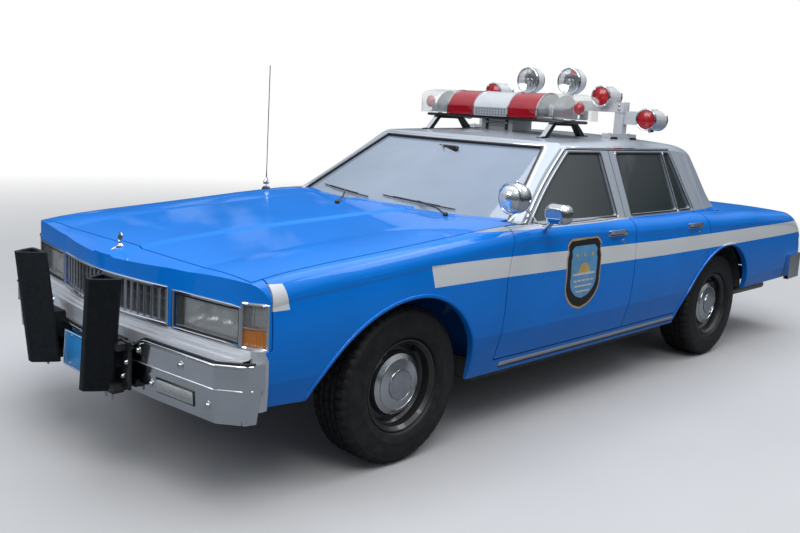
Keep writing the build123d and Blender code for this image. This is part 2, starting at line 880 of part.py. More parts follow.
# Frame: two rails, each the plan of the rail cut by its side view, and cross members
rail_plan = [(2400, 400), (1000, 400), (820, 690), (-980, 690), (-1150, 490), (-2740, 490)]
rail_heights = [(2400, 420), (1750, 365), (1000, 365), (820, 252), (-940, 252), (-1120, 470), (-1680, 470)]
rail_heights += [(-1820, 375), (-2740, 375)]
with BuildPart() as rail_left:
    with BuildSketch(Plane.XY.offset(150)):
        with BuildLine():
            Polyline(*rail_plan)
        trace(line_width=frame_rail_width)
    extrude(amount=450)
    half_rail = frame_rail_height / 2
    rail_side = [(x, z - half_rail) for x, z in rail_heights]
    rail_side += [(x, z + half_rail) for x, z in reversed(rail_heights)]
    add(side_prism(rail_side, (300, 800)), mode=Mode.INTERSECT)
arm_low = (222, 248)
arm_high = (450, 474)
kingpin_y = track_front / 2 - kingpin_inboard
stud = 9
with BuildPart() as frame:
    add(rail_left.part)
    mirror(about=Plane.XZ)
    add(block((1400, 1546), (-370, 370), (200, 262)))
    add(block((2100, 2180), (-370, 370), (360, 420)))
    add(block((180, 260), (-660, 660), (268, 296)))
    add(block((-1240, -1190), (-460, 460), (440, 500)))
    add(block((-2740, -2690), (-460, 460), (335, 415)))
    for side in (1, -1):
        ends = sorted((side * 360, side * (kingpin_y + 24)))
        add(block((axle_front - 28, axle_front + 28), ends, arm_low))
        add(block((axle_front - 24, axle_front + 24), ends, arm_high))
        tower = sorted((side * 366, side * 434))
        add(block((axle_front - 60, axle_front + 60), tower, (200, arm_high[1])))
        with Locations((axle_front, side * kingpin_y, 350)):
            Cylinder(stud + 0.5, 400, mode=Mode.SUBTRACT)
save(frame, "frame")

# Engine with its gearbox, as one plain block
with BuildPart() as engine:
    with BuildSketch(Plane.YZ.offset(960)):
        with BuildLine():
            Polyline(
                (-150, 272), (150, 272), (190, 420), (290, 640), (290, 720), (180, 760), (180, 830),
                (-180, 830), (-180, 760), (-290, 720), (-290, 640), (-190, 420), close=True,
            )
        make_face()
    extrude(amount=660)
    with BuildSketch(Plane.YZ.offset(350)):
        with Locations((0, 320)):
            Rectangle(220, 160)
    extrude(amount=610)
save(engine, "engine")

# Rear axle: tube, differential and propeller shaft
with BuildPart() as rear_axle:
    with BuildSketch(Plane.XZ):
        with Locations((axle_rear, hub_height)):
            Circle(40)
    extrude(amount=track_rear / 2 - 50, both=True)
    with BuildSketch(Plane.XZ):
        with Locations((axle_rear, hub_height)):
            Circle(20)
    extrude(amount=track_rear / 2 + 60, both=True)
    with BuildSketch(Plane.XZ):
        with Locations((axle_rear, hub_height)):
            Circle(118)
    extrude(amount=90, both=True)
    with BuildSketch(Plane.YZ.offset(axle_rear)):
        with Locations((0, hub_height)):
            Circle(36)
    extrude(amount=348 - axle_rear)
save(rear_axle, "rear_axle")

# Exhaust
with BuildPart() as exhaust:
    with BuildLine() as pipe_path:
        FilletPolyline(
            (940, 330, 235), (-1600, 330, 235), (-1960, 610, 250), (-2300, 640, 300), (-2840, 640, 300),
            radius=120,
        )
    with BuildSketch(Plane(origin=(940, 330, 235), z_dir=(-1, 0, 0))):
        Circle(28.6)
    sweep()
    with BuildSketch(Plane.YZ.offset(-760)):
        with Locations((330, 225)):
            Ellipse(120, 62)
    extrude(amount=560)
    with BuildSketch(Plane.YZ.offset(-2840)):
        with Locations((640, 300)):
            Circle(26)
    extrude(amount=250, mode=Mode.SUBTRACT)
save(exhaust, "exhaust")

# Fuel tank between the rear rails
with BuildPart() as fuel_tank:
    with BuildSketch(Plane.XY.offset(235)):
        with Locations((-2280, 0)):
            RectangleRounded(600, 820, 60)
    extrude(amount=190)
    fillet(fuel_tank.edges().filter_by(GeomType.CIRCLE, reverse=True).group_by(Axis.Z)[0], radius=25)
save(fuel_tank, "fuel_tank")


# Wheels: pressed steel disc, barrel and cap turned as one; tyres seat on the barrel
def wheel_profile():
    """Radius and place across the wheel, outboard positive, round the whole section."""
    seat = rim_diameter / 2
    edge = rim_width / 2
    cap = cap_diameter / 2
    return [
        (seat + 12, -edge), (seat + 12, 8 - edge), (seat, 11 - edge), (seat - 2, 45 - edge),
        (seat - 16, 57 - edge), (seat - 16, edge - 73), (seat - 2, edge - 55), (seat, edge - 11),
        (seat + 12, edge - 7), (seat + 12, edge), (seat + 6, edge), (seat - 8, edge - 15),
        (seat - 12, edge - 51), (seat - 24, edge - 63), (cap + 12, edge - 60), (cap + 2, edge - 50),
        (cap, edge - 34), (cap - 24, edge - 22), (cap - 70, edge - 12),
        (0, edge - 9), (0, 66), (20.5, 66), (20.5, -40), (56, -40), (56, 14), (cap + 14, 14), (seat - 28, 22),
        (seat - 22, 16), (seat - 22, 51 - edge), (seat - 8, 39 - edge), (seat - 8, -edge),
    ]


def tyre_profile():
    """Radius and place across the tyre round its whole section."""
    outside = tyre_diameter / 2
    broad = tyre_width / 2
    seat = rim_diameter / 2 + 0.5
    half = [(seat, 83), (seat + 13, 87), (seat + 23, broad - 10), (seat + 74, broad)]
    half += [(outside - 30, broad - 8), (outside, broad - 34)]
    return half + [(r, -y) for r, y in reversed(half)]


def turned(profile, x, y, side):
    """A profile of radius and outboard distance, turned about a wheel's axle."""
    with BuildPart() as ring:
        with BuildSketch(Plane(origin=(x, side * y, hub_height), x_dir=(0, 0, 1), z_dir=(-side, 0, 0))):
            with BuildLine():
                Polyline(*profile, close=True)
            make_face()
        revolve(axis=Axis((x, 0, hub_height), (0, 1, 0)))
    return ring


for end, x, track in (("front", axle_front, track_front), ("rear", axle_rear, track_rear)):
    for name, side in (("left", 1), ("right", -1)):
        wheel = turned(wheel_profile(), x, track / 2, side)
        save(wheel, f"wheel_{end}_{name}")
        tyre = turned(tyre_profile(), x, track / 2, side)
        save(tyre, f"tyre_{end}_{name}")

# Steering knuckles
with BuildPart() as knuckle:
    with BuildSketch(Plane.XY.offset(arm_low[1] + 1)):
        with Locations((axle_front, kingpin_y)):
            RectangleRounded(46, 40, 10)
    extrude(amount=arm_high[0] - arm_low[1] - 2)
    with BuildSketch(Plane.XY.offset(arm_low[0])):
        with Locations((axle_front, kingpin_y)):
            Circle(stud)
    extrude(amount=arm_high[1] - arm_low[0])
    with BuildSketch(Plane.XZ.offset(-kingpin_y)):
        with Locations((axle_front, hub_height)):
            Circle(20)
    extrude(amount=-kingpin_inboard - 60)
save_pair(knuckle, "knuckle")

# Dashboard
with BuildPart() as dashboard:
    add(side_prism([(715, 560), (715, 955), (600, 950), (480, 890), (450, 780), (520, 600)], (-745, 745)))
save(dashboard, "dashboard")

# Seats
tunnel_room = block((-1300, 400), (-tunnel_half - 16, tunnel_half + 16), (0, tunnel_top + 16))
with BuildPart() as front_seat:
    seat_side = [(260, 330), (290, 560), (200, 600), (-200, 560), (-370, 1010), (-480, 1010), (-330, 330)]
    add(side_prism(seat_side, (-640, 640), corner=35))
    add(tunnel_room, mode=Mode.SUBTRACT)
save(front_seat, "front_seat")
with BuildPart() as rear_seat:
    seat_side = [(-600, 360), (-570, 590), (-660, 620), (-1070, 590), (-1190, 935), (-1225, 935)]
    seat_side += [(-1235, 545), (-1045, 545), (-890, 330)]
    add(side_prism(seat_side, (-680, 680)))
    add(tunnel_room, mode=Mode.SUBTRACT)
    for side in (1, -1):
        ends = sorted((side * 545, side * 700))
        add(block((-1300, -935), ends, (300, 785)), mode=Mode.SUBTRACT)
save(rear_seat, "rear_seat")

# Steering wheel and column
wheel_tilt = math.radians(28)
wheel_plane = Plane(origin=(250, 370, 830), z_dir=(-math.cos(wheel_tilt), 0, math.sin(wheel_tilt)))
with BuildPart(wheel_plane) as wheel_and_column:
    Torus(190, 13)
    with Locations((0, 0, -20)):
        Cylinder(58, 40)
    with Locations((0, 0, -16)):
        Box(40, 366, 14)
    with Locations((0, 0, -150)):
        Cylinder(24, 260)
with BuildPart() as steering_wheel:
    add(wheel_and_column.part)
    add(dashboard.part, mode=Mode.SUBTRACT)
save(steering_wheel, "steering_wheel")

# Light bar: tray on arched feet, speaker housing in the middle, rounded covers at both sides
bar_x = -215
bar_half_depth = 135
bar_bottom = 1487
tray_thick = 18
tray_half = 530
bar_half = 630
dome_height = 150
dome_wall = 4
end_round = 105
crown_round = 70
red_inner = 132
red_outer = 340


def dome_outline(inset, lift):
    """Section of the light bar's cover in x and z, lifted off the tray."""
    low = bar_bottom + tray_thick + lift
    wide = bar_half_depth - inset
    high = dome_height - 2 * inset
    with BuildLine() as line:
        base = Line((bar_x + wide, low), (bar_x - wide, low))
        rear = Line(base @ 1, (bar_x - wide, low + high * 0.35))
        crown = ThreePointArc(rear @ 1, (bar_x, low + high), (bar_x + wide, low + high * 0.35))
        Line(crown @ 1, base @ 0)
    return line.line


def cover(inset, lift, near, far):
    """The bar's cover between two places across the car, rounded in plan and from the front."""
    low = bar_bottom + tray_thick + lift
    high = dome_height - 2 * inset
    half = bar_half - inset
    with BuildPart() as pillow:
        with BuildSketch(Plane.XZ.offset(-near)):
            add(dome_outline(inset, lift))
            make_face()
        extrude(amount=near - far)
        with BuildSketch(Plane.XY.offset(low)):
            with Locations((bar_x, 0)):
                RectangleRounded(2 * (bar_half_depth - inset) + 1, 2 * half, end_round - inset)
        extrude(amount=dome_height, mode=Mode.INTERSECT)
        with BuildSketch(Plane.YZ.offset(bar_x - bar_half_depth)):
            with Locations((0, low + (high - crown_round) / 2)):
                RectangleRounded(2 * half, high + crown_round, crown_round - inset)
        extrude(amount=2 * bar_half_depth, mode=Mode.INTERSECT)
    return pillow.part


foot_y = 443
foot_outline = [(-5, 1390), (-100, bar_bottom + 1), (-330, bar_bottom + 1), (-425, 1390)]
foot_outline += [(-395, 1390), (-318, bar_bottom - 14), (-112, bar_bottom - 14), (-35, 1390)]
with BuildPart() as light_bar:
    with BuildSketch(Plane.XY.offset(bar_bottom)):
        with Locations((bar_x, 0)):
            RectangleRounded(2 * bar_half_depth - 20, 2 * tray_half, 40)
    extrude(amount=tray_thick)
    with BuildSketch(Plane.XZ.offset(-red_inner + 1)):
        add(dome_outline(0, 0))
        make_face()
    extrude(amount=2 * red_inner - 2)
    for side in (1, -1):
        ends = sorted((side * (foot_y - 18), side * (foot_y + 18)))
        add(side_prism(foot_outline, ends))
    add(block((bar_x - 130, bar_x + 60), (-120, 120), (1390, bar_bottom + 1)))
    add(cabin_outside, mode=Mode.SUBTRACT)
    add(mirror(cabin_outside, about=Plane.XZ, mode=Mode.PRIVATE), mode=Mode.SUBTRACT)
save(light_bar, "light_bar")

with BuildPart() as light_domes:
    for near, far in ((red_inner, red_outer), (red_outer + 1, bar_half + 10)):
        add(cover(0, 1, near, far))
        add(cover(dome_wall, 1 + dome_wall, near + dome_wall, far - dome_wall), mode=Mode.SUBTRACT)
    mirror(about=Plane.XZ)
save(light_domes, "light_domes")

# Roof lamps on a beam across the roof behind the light bar
rack_x = -690
with BuildPart() as roof_lamps:
    add(block((rack_x - 30, rack_x + 30), (-560, 560), (1570, 1630)))
    for side in (1, -1):
        ends = sorted((side * 500, side * 560))
        add(block((rack_x - 25, rack_x + 25), ends, (1380, 1600)))
        add(block((rack_x - 150, rack_x + 150), ends, (1380, 1440)))
        arm = sorted((side * 530, side * 740))
        add(block((rack_x - 12, rack_x + 12), arm, (1500, 1580)))
        for y, z, radius, length in ((160, 1749, 80, 60), (420, 1662, 62, 130), (739, 1536, 62, 130)):
            with BuildSketch(Plane.YZ.offset(rack_x - length / 2)):
                with Locations((side * y, z)):
                    Circle(radius)
            extrude(amount=length)
        add(block((rack_x - 10, rack_x + 10), sorted((side * 150, side * 170)), (1600, 1700)))
    add(cabin_outside, mode=Mode.SUBTRACT)
    add(mirror(cabin_outside, about=Plane.XZ, mode=Mode.PRIVATE), mode=Mode.SUBTRACT)
save(roof_lamps, "roof_lamps")

# Mirror on the driver's door: a rounded head on a leaning stem
mirror_head = Vector(625, 1040, 1071)
mirror_foot = Vector(568, 930, 968)
with BuildPart() as door_mirror:
    with BuildSketch(Plane(origin=mirror_head, x_dir=(0, 1, 0), z_dir=(1, 0, 0))):
        RectangleRounded(135, 95, 40)
    extrude(amount=56)
    fillet(door_mirror.faces().sort_by(Axis.X)[-1].edges(), radius=30)
    with BuildSketch(Plane(origin=mirror_head + Vector(24, 0, 0), z_dir=mirror_foot - mirror_head)):
        Circle(13)
    extrude(amount=(mirror_foot - mirror_head).length)
    add(front_door.part, mode=Mode.SUBTRACT)
    add(lower_body(0), mode=Mode.SUBTRACT)
save(door_mirror, "mirror")

# Spotlight ahead of the left front pillar, its stem run into the pillar
spotlight_centre = Vector(854, 942, 1143)
spotlight_stem = Vector(592, 843, 1046) - spotlight_centre
with BuildPart() as spotlight:
    with Locations(spotlight_centre):
        Sphere(72)
    with BuildSketch(Plane(origin=spotlight_centre, z_dir=spotlight_stem)):
        Circle(9)
    extrude(amount=spotlight_stem.length)
    add(cabin_outside, mode=Mode.SUBTRACT)
    add(left_side.part, mode=Mode.SUBTRACT)
save(spotlight, "spotlight")

# Whip antenna on the right fender
with BuildPart() as antenna:
    with BuildSketch(Plane.XY.offset(940)):
        with Locations((898, -895)):
            Circle(16)
    extrude(amount=70)
    with BuildSketch(Plane.XY.offset(940)):
        with Locations((898, -895)):
            Circle(2.5)
    extrude(amount=786)
    add(mirror(outer_body, about=Plane.XZ, mode=Mode.PRIVATE), mode=Mode.SUBTRACT)
save(antenna, "antenna")
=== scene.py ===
import math

import bmesh
import bpy
from mathutils import Matrix, Vector
from mathutils.bvhtree import BVHTree


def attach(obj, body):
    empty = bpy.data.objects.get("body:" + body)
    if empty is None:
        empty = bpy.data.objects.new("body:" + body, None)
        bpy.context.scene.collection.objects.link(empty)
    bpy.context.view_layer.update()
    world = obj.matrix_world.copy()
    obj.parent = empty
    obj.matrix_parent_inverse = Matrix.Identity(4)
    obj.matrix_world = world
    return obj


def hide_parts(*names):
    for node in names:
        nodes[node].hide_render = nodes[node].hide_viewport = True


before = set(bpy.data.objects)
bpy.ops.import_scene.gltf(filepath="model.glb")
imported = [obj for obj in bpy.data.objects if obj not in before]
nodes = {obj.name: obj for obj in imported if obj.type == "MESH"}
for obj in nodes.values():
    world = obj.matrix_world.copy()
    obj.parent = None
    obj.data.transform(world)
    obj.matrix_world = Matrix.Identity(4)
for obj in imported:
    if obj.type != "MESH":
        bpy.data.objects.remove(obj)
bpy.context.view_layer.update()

# Places shared with the CAD, in metres
AXLE_FRONT = 1.473
AXLE_REAR = -1.473
HUB = 0.348
SIDES = ((1, "left"), (-1, "right"))
BAR_X = -0.215
TRAY_TOP = 1.505
BAR_PITCH = 0.042

BLUE = (0.0008, 0.185, 0.70)
SILVER = (0.40, 0.44, 0.50)
WHITE = (0.66, 0.68, 0.70)
LINING = (0.014, 0.015, 0.017)
MATS = {}


# Materials: numbers and colours that nodes work out from the place on the object
class Num:
    """A value that a node tree works out, combined with ordinary signs."""

    def __init__(self, tree, socket):
        self.tree, self.socket = tree, socket

    def then(self, operation, other=None):
        made = self.tree.nodes.new("ShaderNodeMath")
        made.operation = operation
        put(self.tree, made.inputs[0], self)
        if other is not None:
            put(self.tree, made.inputs[1], other)
        return Num(self.tree, made.outputs[0])

    def __add__(self, other):
        return self.then("ADD", other)

    def __sub__(self, other):
        return self.then("SUBTRACT", other)

    def __mul__(self, other):
        return self.then("MULTIPLY", other)

    def __gt__(self, other):
        return self.then("GREATER_THAN", other)

    def __lt__(self, other):
        return self.then("LESS_THAN", other)

    def __abs__(self):
        return self.then("ABSOLUTE")

    def clamped(self):
        self.socket.node.use_clamp = True
        return self

    def ramp(self, low, high):
        """0 below low, 1 above high, straight between."""
        made = self.tree.nodes.new("ShaderNodeMapRange")
        made.inputs["From Min"].default_value = low
        made.inputs["From Max"].default_value = high
        put(self.tree, made.inputs["Value"], self)
        return Num(self.tree, made.outputs[0])


def put(tree, socket, value):
    """Links a worked-out value to a socket, or sets a plain number or colour there."""
    if isinstance(value, Num):
        tree.links.new(value.socket, socket)
    elif isinstance(value, (int, float)):
        socket.default_value = value
    else:
        socket.default_value = (*value[:3], 1)


def mix(tree, factor, a, b):
    made = tree.nodes.new("ShaderNodeMix")
    made.data_type = "RGBA"
    for index, value in ((0, factor), (6, a), (7, b)):
        put(tree, made.inputs[index], value)
    return Num(tree, made.outputs[2])


def noise(tree, field, scale, detail=4.0):
    made = tree.nodes.new("ShaderNodeTexNoise")
    made.inputs["Scale"].default_value = scale
    made.inputs["Detail"].default_value = detail
    tree.links.new(field, made.inputs["Vector"])
    return Num(tree, made.outputs["Fac"])


def shades(colour, vary):
    return tuple(c * (1 - vary) for c in colour), tuple(c * (1 + vary) for c in colour)


def axes(tree, kind):
    """Where a shaded point lies: the socket and its three parts."""
    place = tree.nodes.new("ShaderNodeTexCoord").outputs[kind]
    parts = tree.nodes.new("ShaderNodeSeparateXYZ")
    tree.links.new(place, parts.inputs[0])
    return (place, *(Num(tree, out) for out in parts.outputs))


class Finish:
    """A material in the making, with its shader and the place on the object."""

    def __init__(self, name):
        self.mat = bpy.data.materials.new(name)
        self.mat.use_nodes = True
        self.tree = self.mat.node_tree
        self.shader = self.tree.nodes["Principled BSDF"]
        self.field, self.x, self.y, self.z = axes(self.tree, "Object")

    def noise(self, scale, detail=4.0):
        return noise(self.tree, self.field, scale, detail)

    def mix(self, factor, a, b):
        return mix(self.tree, factor, a, b)

    def has(self, socket):
        """What is already linked to one of the shader's sockets."""
        return Num(self.tree, self.shader.inputs[socket].links[0].from_socket)

    def bump(self, height, strength, distance, socket="Normal"):
        made = self.tree.nodes.new("ShaderNodeBump")
        made.inputs["Strength"].default_value = strength
        made.inputs["Distance"].default_value = distance
        put(self.tree, made.inputs["Height"], height)
        self.tree.links.new(made.outputs["Normal"], self.shader.inputs[socket])

    def set(self, **values):
        """Sets shader sockets, with their names' spaces written as underscores."""
        for name, value in values.items():
            put(self.tree, self.shader.inputs[name.replace("_", " ")], value)
        return self.mat


def worn(name, colour, rough, metallic=0.0, grain=40.0, vary=0.12, rough_vary=0.1, bumpy=0.0, bump_scale=400.0,
         coat=0.0, dust=0.0, specular=0.5):
    """A plain finish with uneven colour and gloss, a fine surface grain and dust towards the ground."""
    made = Finish(name)
    patches = made.noise(grain)
    darker = tuple(c * (1 - vary) for c in colour)
    lighter = tuple(min(1.0, c * (1 + vary) + vary * 0.01) for c in colour)
    tint = made.mix(patches.ramp(0.3, 0.7), darker, lighter)
    if dust:
        tint = made.mix(made.z.ramp(0.75, 0.2) * patches * dust, tint, (0.32, 0.29, 0.25))
    if bumpy:
        made.bump(made.noise(bump_scale, 2.0), bumpy, 0.002)
    return made.set(Base_Color=tint, Roughness=patches * rough_vary + (rough - rough_vary / 2),
                    Metallic=metallic,
                    Coat_Weight=coat, Coat_Roughness=0.05, Specular_IOR_Level=specular)
def striped(made, tint):
    """The pale side stripe: a short block at the front, a gap, then an unbroken band to the tail."""
    ahead = made.x.ramp(-0.6, 1.0)
    band = (made.z > ahead * 0.018 + 0.762) * (made.z < ahead * 0.022 + 0.852) * (abs(made.y) > 0.86)
    along = made.x - made.z * 0.22
    block = (along > 1.976) * (along < 2.062)
    return made.mix(band * (block + (along < 1.212)), tint, WHITE)


def lined(made, inside):
    """1 on faces that look inward, down from the roof, or lie behind the nose."""
    if inside == "nose":
        level = (made.z < 0.802) * (made.z > 0.641) * (abs(made.y) < 0.925)
        return level * (made.x + abs(made.y) * 0.134 < 2.395)
    facing = axes(made.tree, "Normal")
    return (facing[2] * made.y if inside == "side" else facing[3]) < -0.3


def enamel(name, stripe=False, silver_above=None, inside=None):
    """Glossy car paint, with the stripe, silver upper body and lined inside where they are asked for."""
    made = Finish(name)
    patches = made.noise(3.0, 3.0)
    tint = made.mix(patches.ramp(0.3, 0.7), shades(BLUE, 0.07)[0], shades(BLUE, 0.06)[1])
    if stripe:
        tint = striped(made, tint)
    if silver_above is not None:
        upper = made.z > silver_above
        silver = made.mix(made.noise(900.0, 1.0), shades(SILVER, 0.10)[0], shades(SILVER, 0.12)[1])
        tint = made.mix(upper, tint, silver)
        made.set(Metallic=upper * 0.35)
    coat = 0.5
    if inside:
        lining = lined(made, inside)
        tint = made.mix(lining, tint, (0.16, 0.17, 0.19) if inside == "roof" else LINING)
        coat = lining * -0.5 + 0.5
    grime = made.z.ramp(0.55, 0.25) * made.noise(14.0, 5.0) * 0.3
    made.bump(made.noise(60.0, 1.0), 0.01, 0.002, "Coat Normal")
    return made.set(Base_Color=made.mix(grime, tint, (0.2, 0.19, 0.17)), Roughness=patches * 0.08 + 0.30,
                    Coat_Weight=coat, Coat_Roughness=0.03, Specular_IOR_Level=0.05)


def sheet_glass(name, colour, least=0.25, rough=0.02, flutes=0.0, gain=1.2):
    """Glass seen through: a tint whose reflection grows towards grazing views; flutes ribs it. On the side
    panes the dark tint is painted shade of the cabin behind them, on both screens the pale blue tint is a
    painted sky reflection.
    """
    made = Finish(name)
    smear = made.noise(5.0)
    glancing = made.tree.nodes.new("ShaderNodeFresnel")
    glancing.inputs["IOR"].default_value = 1.5
    if flutes:
        ribs = (made.y * flutes).then("SINE") + (made.z * flutes * 0.45).then("SINE") * 0.6
        made.bump(ribs, 0.5, 0.002)
    made.set(Base_Color=made.mix(smear.ramp(0.3, 0.7), shades(colour, 0.1)[0], colour),
             Roughness=smear * 0.04 + rough, IOR=1.5, Specular_IOR_Level=1.0, Coat_Weight=1.0,
             Coat_Roughness=0.01,
             Alpha=(Num(made.tree, glancing.outputs[0]) * gain + least).clamped())
    return made


def tinted(made, where, colour, milky):
    """Colours part of a glass and makes it less clear there."""
    seen = (made.has("Alpha") + milky).clamped()
    return made.set(Base_Color=made.mix(where, made.has("Base Color"), colour), Alpha=seen)


def lamp_glass(name):
    """The head and corner lamps' glass: clear and ribbed, amber over the lower part of each corner."""
    made = sheet_glass(name, (0.74, 0.77, 0.78), least=0.03, flutes=620.0, gain=0.6)
    corner = abs(made.y) > 0.835
    amber = corner * (made.z < 0.713)
    return tinted(made, amber, (0.55, 0.17, 0.01), amber * 0.62 + corner * 0.12)


def red_ends(name):
    """The light bar's cover: red over each inner length, clear towards the ends."""
    made = sheet_glass(name, (0.80, 0.82, 0.80), least=0.01, rough=0.02, gain=0.30)
    inner = abs(made.y) < 0.3405
    return tinted(made, inner, (0.50, 0.005, 0.02), inner * 0.45)


def wheel_paint(name, axle):
    """Black steel with a bright cap in the middle, told apart by the distance from the axle."""
    made = Finish(name)
    across, up = made.x - axle, made.z - HUB
    cap = ((across * across + up * up).then("SQRT") < 0.1375) * (abs(made.y) > 0.81)
    spots = made.noise(30.0)
    dark = made.mix(spots, (0.012, 0.012, 0.013), (0.022, 0.022, 0.023))
    bright = made.mix(spots, (0.60, 0.61, 0.62), (0.74, 0.75, 0.76))
    return made.set(Base_Color=made.mix(cap, dark, bright), Metallic=cap, Coat_Weight=0.5,
                    Roughness=cap * -0.14 + 0.32 + spots * 0.08)


def woven(name, colour, pitch=1400.0):
    """Seat cloth: a fine weave over uneven dye."""
    made = Finish(name)
    spots = made.noise(24.0)
    made.bump((made.x * pitch).then("SINE") * (made.y * pitch).then("SINE"), 0.35, 0.001)
    return made.set(Base_Color=made.mix(spots, shades(colour, 0.25)[0], shades(colour, 0.2)[1]),
                    Roughness=spots * 0.1 + 0.82, Sheen_Weight=0.3)


def bar_finish(name):
    """Black tray and feet, bright speaker housing above the tray, silver siren box under it."""
    made = Finish(name)
    spots = made.noise(30.0)
    centre = abs(made.y) < 0.1315
    above, below = centre * (made.z > 1.5051), centre * (made.z < 1.4869)
    tint = made.mix(spots, (0.010, 0.010, 0.011), (0.018, 0.018, 0.019))
    tint = made.mix(above, tint, made.mix(spots, (0.60, 0.62, 0.65), (0.70, 0.72, 0.75)))
    tint = made.mix(below, tint, made.mix(spots, (0.42, 0.43, 0.45), (0.52, 0.53, 0.55)))
    return made.set(Base_Color=tint, Metallic=(above + below) * 0.6,
                    Roughness=above * -0.06 + 0.34 + spots * 0.08)


MATS.update(
    blue=enamel("blue_enamel"),
    nose=enamel("nose_enamel", inside="nose"),
    grille=worn("grille_silver", (0.45, 0.47, 0.51), 0.26, metallic=0.85, grain=20.0, vary=0.06,
                rough_vary=0.06),
    side=enamel("striped_enamel", stripe=True, silver_above=0.987, inside="side"),
    silver=enamel("silver_enamel", silver_above=-1.0, inside="roof"),
    chrome=worn("bright_chrome", (0.68, 0.70, 0.73), 0.07, metallic=1.0, grain=9.0, vary=0.04, rough_vary=0.04),
    satin=worn("satin_alloy", (0.50, 0.52, 0.55), 0.32, metallic=1.0, grain=20.0, bumpy=0.1),
    filler=worn("silver_filler", (0.44, 0.46, 0.50), 0.42, metallic=0.25, grain=12.0, vary=0.03,
                rough_vary=0.03,
                coat=0.3),
    black=worn("black_enamel", (0.010, 0.010, 0.011), 0.3, grain=30.0, vary=0.3, coat=0.4),
    rubber=worn("black_rubber", (0.005, 0.007, 0.010), 0.50, grain=60.0, vary=0.25, bumpy=0.12,
                bump_scale=700.0,
                specular=0.25),
    tyre=worn("tyre_rubber", (0.009, 0.009, 0.0095), 0.50, grain=26.0, vary=0.3, bumpy=0.2, bump_scale=900.0,
              dust=0.05, specular=0.3),
    gasket=worn("window_rubber", (0.007, 0.007, 0.007), 0.5, grain=60.0, vary=0.2),
    under=worn("underbody_paint", (0.016, 0.017, 0.018), 0.7, grain=18.0, vary=0.3, bumpy=0.4, dust=0.4),
    iron=worn("cast_iron", (0.05, 0.05, 0.052), 0.7, grain=30.0, vary=0.3, bumpy=0.5, dust=0.3),
    pipe=worn("pipe_steel", (0.28, 0.25, 0.22), 0.45, metallic=0.9, grain=10.0, vary=0.3, dust=0.5),
    trim=worn("dash_plastic", (0.020, 0.028, 0.045), 0.6, grain=40.0, bumpy=0.3, bump_scale=1200.0),
    white=worn("white_enamel", (0.56, 0.575, 0.60), 0.25, grain=14.0, vary=0.06, coat=0.8),
    grey=worn("grey_plastic", (0.22, 0.23, 0.24), 0.5, grain=20.0, bumpy=0.1),
    red=worn("red_plastic", (0.42, 0.004, 0.010), 0.22, grain=14.0, coat=1.0),
    amber=worn("amber_plastic", (0.62, 0.20, 0.01), 0.25, grain=14.0, coat=1.0),
    plate=worn("blank_plate", (0.02, 0.22, 0.55), 0.35, grain=12.0, coat=0.4),
    cloth=woven("seat_cloth", (0.045, 0.075, 0.135)),
    reflector=worn("lamp_reflector", (0.86, 0.87, 0.88), 0.24, metallic=0.55, grain=60.0, vary=0.10,
                   rough_vary=0.15),
    mirrored=worn("silvered_glass", (0.86, 0.87, 0.88), 0.03, metallic=1.0, grain=4.0, vary=0.02,
                  rough_vary=0.02),
    # Painted reflection: the pale blue tint of the windscreen and rear window, at least half opaque, stands for
    # the bright sky they mirror.
    windscreen=sheet_glass("windscreen_glass_painted_reflection", (0.34, 0.42, 0.54), least=0.55).mat,
    # Painted shade: the side panes' near-black tint, at least three quarters opaque, stands for the shaded
    # cabin behind them.
    pane=sheet_glass("side_glass_painted_shade", (0.022, 0.032, 0.034), least=0.74).mat,
    lens=sheet_glass("clear_lens", (0.74, 0.77, 0.78), least=0.06, flutes=520.0, gain=0.7).mat,
    lamp=lamp_glass("lamp_glass"),
    wheel_front=wheel_paint("front_wheel_paint", AXLE_FRONT),
    wheel_rear=wheel_paint("rear_wheel_paint", AXLE_REAR),
    tan=worn("tan_edge", (0.50, 0.33, 0.16), 0.3, grain=14.0, coat=0.6),
    gold=worn("gold_motif", (0.55, 0.38, 0.10), 0.3, grain=14.0, coat=0.6),
    sky=worn("pale_blue_field", (0.10, 0.30, 0.55), 0.3, grain=14.0, coat=0.6),
    domes=red_ends("light_bar_cover"),
    bar=bar_finish("light_bar_finish"),
)
FINISH = {
    "blue": "cowl rear_deck hood trunk_lid", "nose": "header_panel", "grille": "grille",
    "side": "body_side_left body_side_right door_front_left door_front_right door_rear_left door_rear_right"
            " fender_left fender_right rear_panel",
    "silver": "roof", "under": "frame floor rear_axle fuel_tank knuckle_left knuckle_right",
    "iron": "engine", "pipe": "exhaust", "red": "tail_lamps",
    "chrome": "front_bumper rear_bumper spotlight antenna mirror", "lamp": "front_lamps",
    "rubber": "push_bars", "windscreen": "windshield rear_window", "trim": "dashboard steering_wheel",
    "cloth": "front_seat rear_seat", "bar": "light_bar", "domes": "light_domes", "white": "roof_lamps",
    "pane": "glass_front_left glass_front_right glass_rear_left glass_rear_right",
    "wheel_front": "wheel_front_left wheel_front_right", "wheel_rear": "wheel_rear_left wheel_rear_right",
    "tyre": "tyre_front_left tyre_front_right tyre_rear_left tyre_rear_right",
}
for finish, named in FINISH.items():
    for name in named.split():
        if not nodes[name].data.materials:
            nodes[name].data.materials.append(None)
        for slot in nodes[name].material_slots:
            slot.material = MATS[finish]
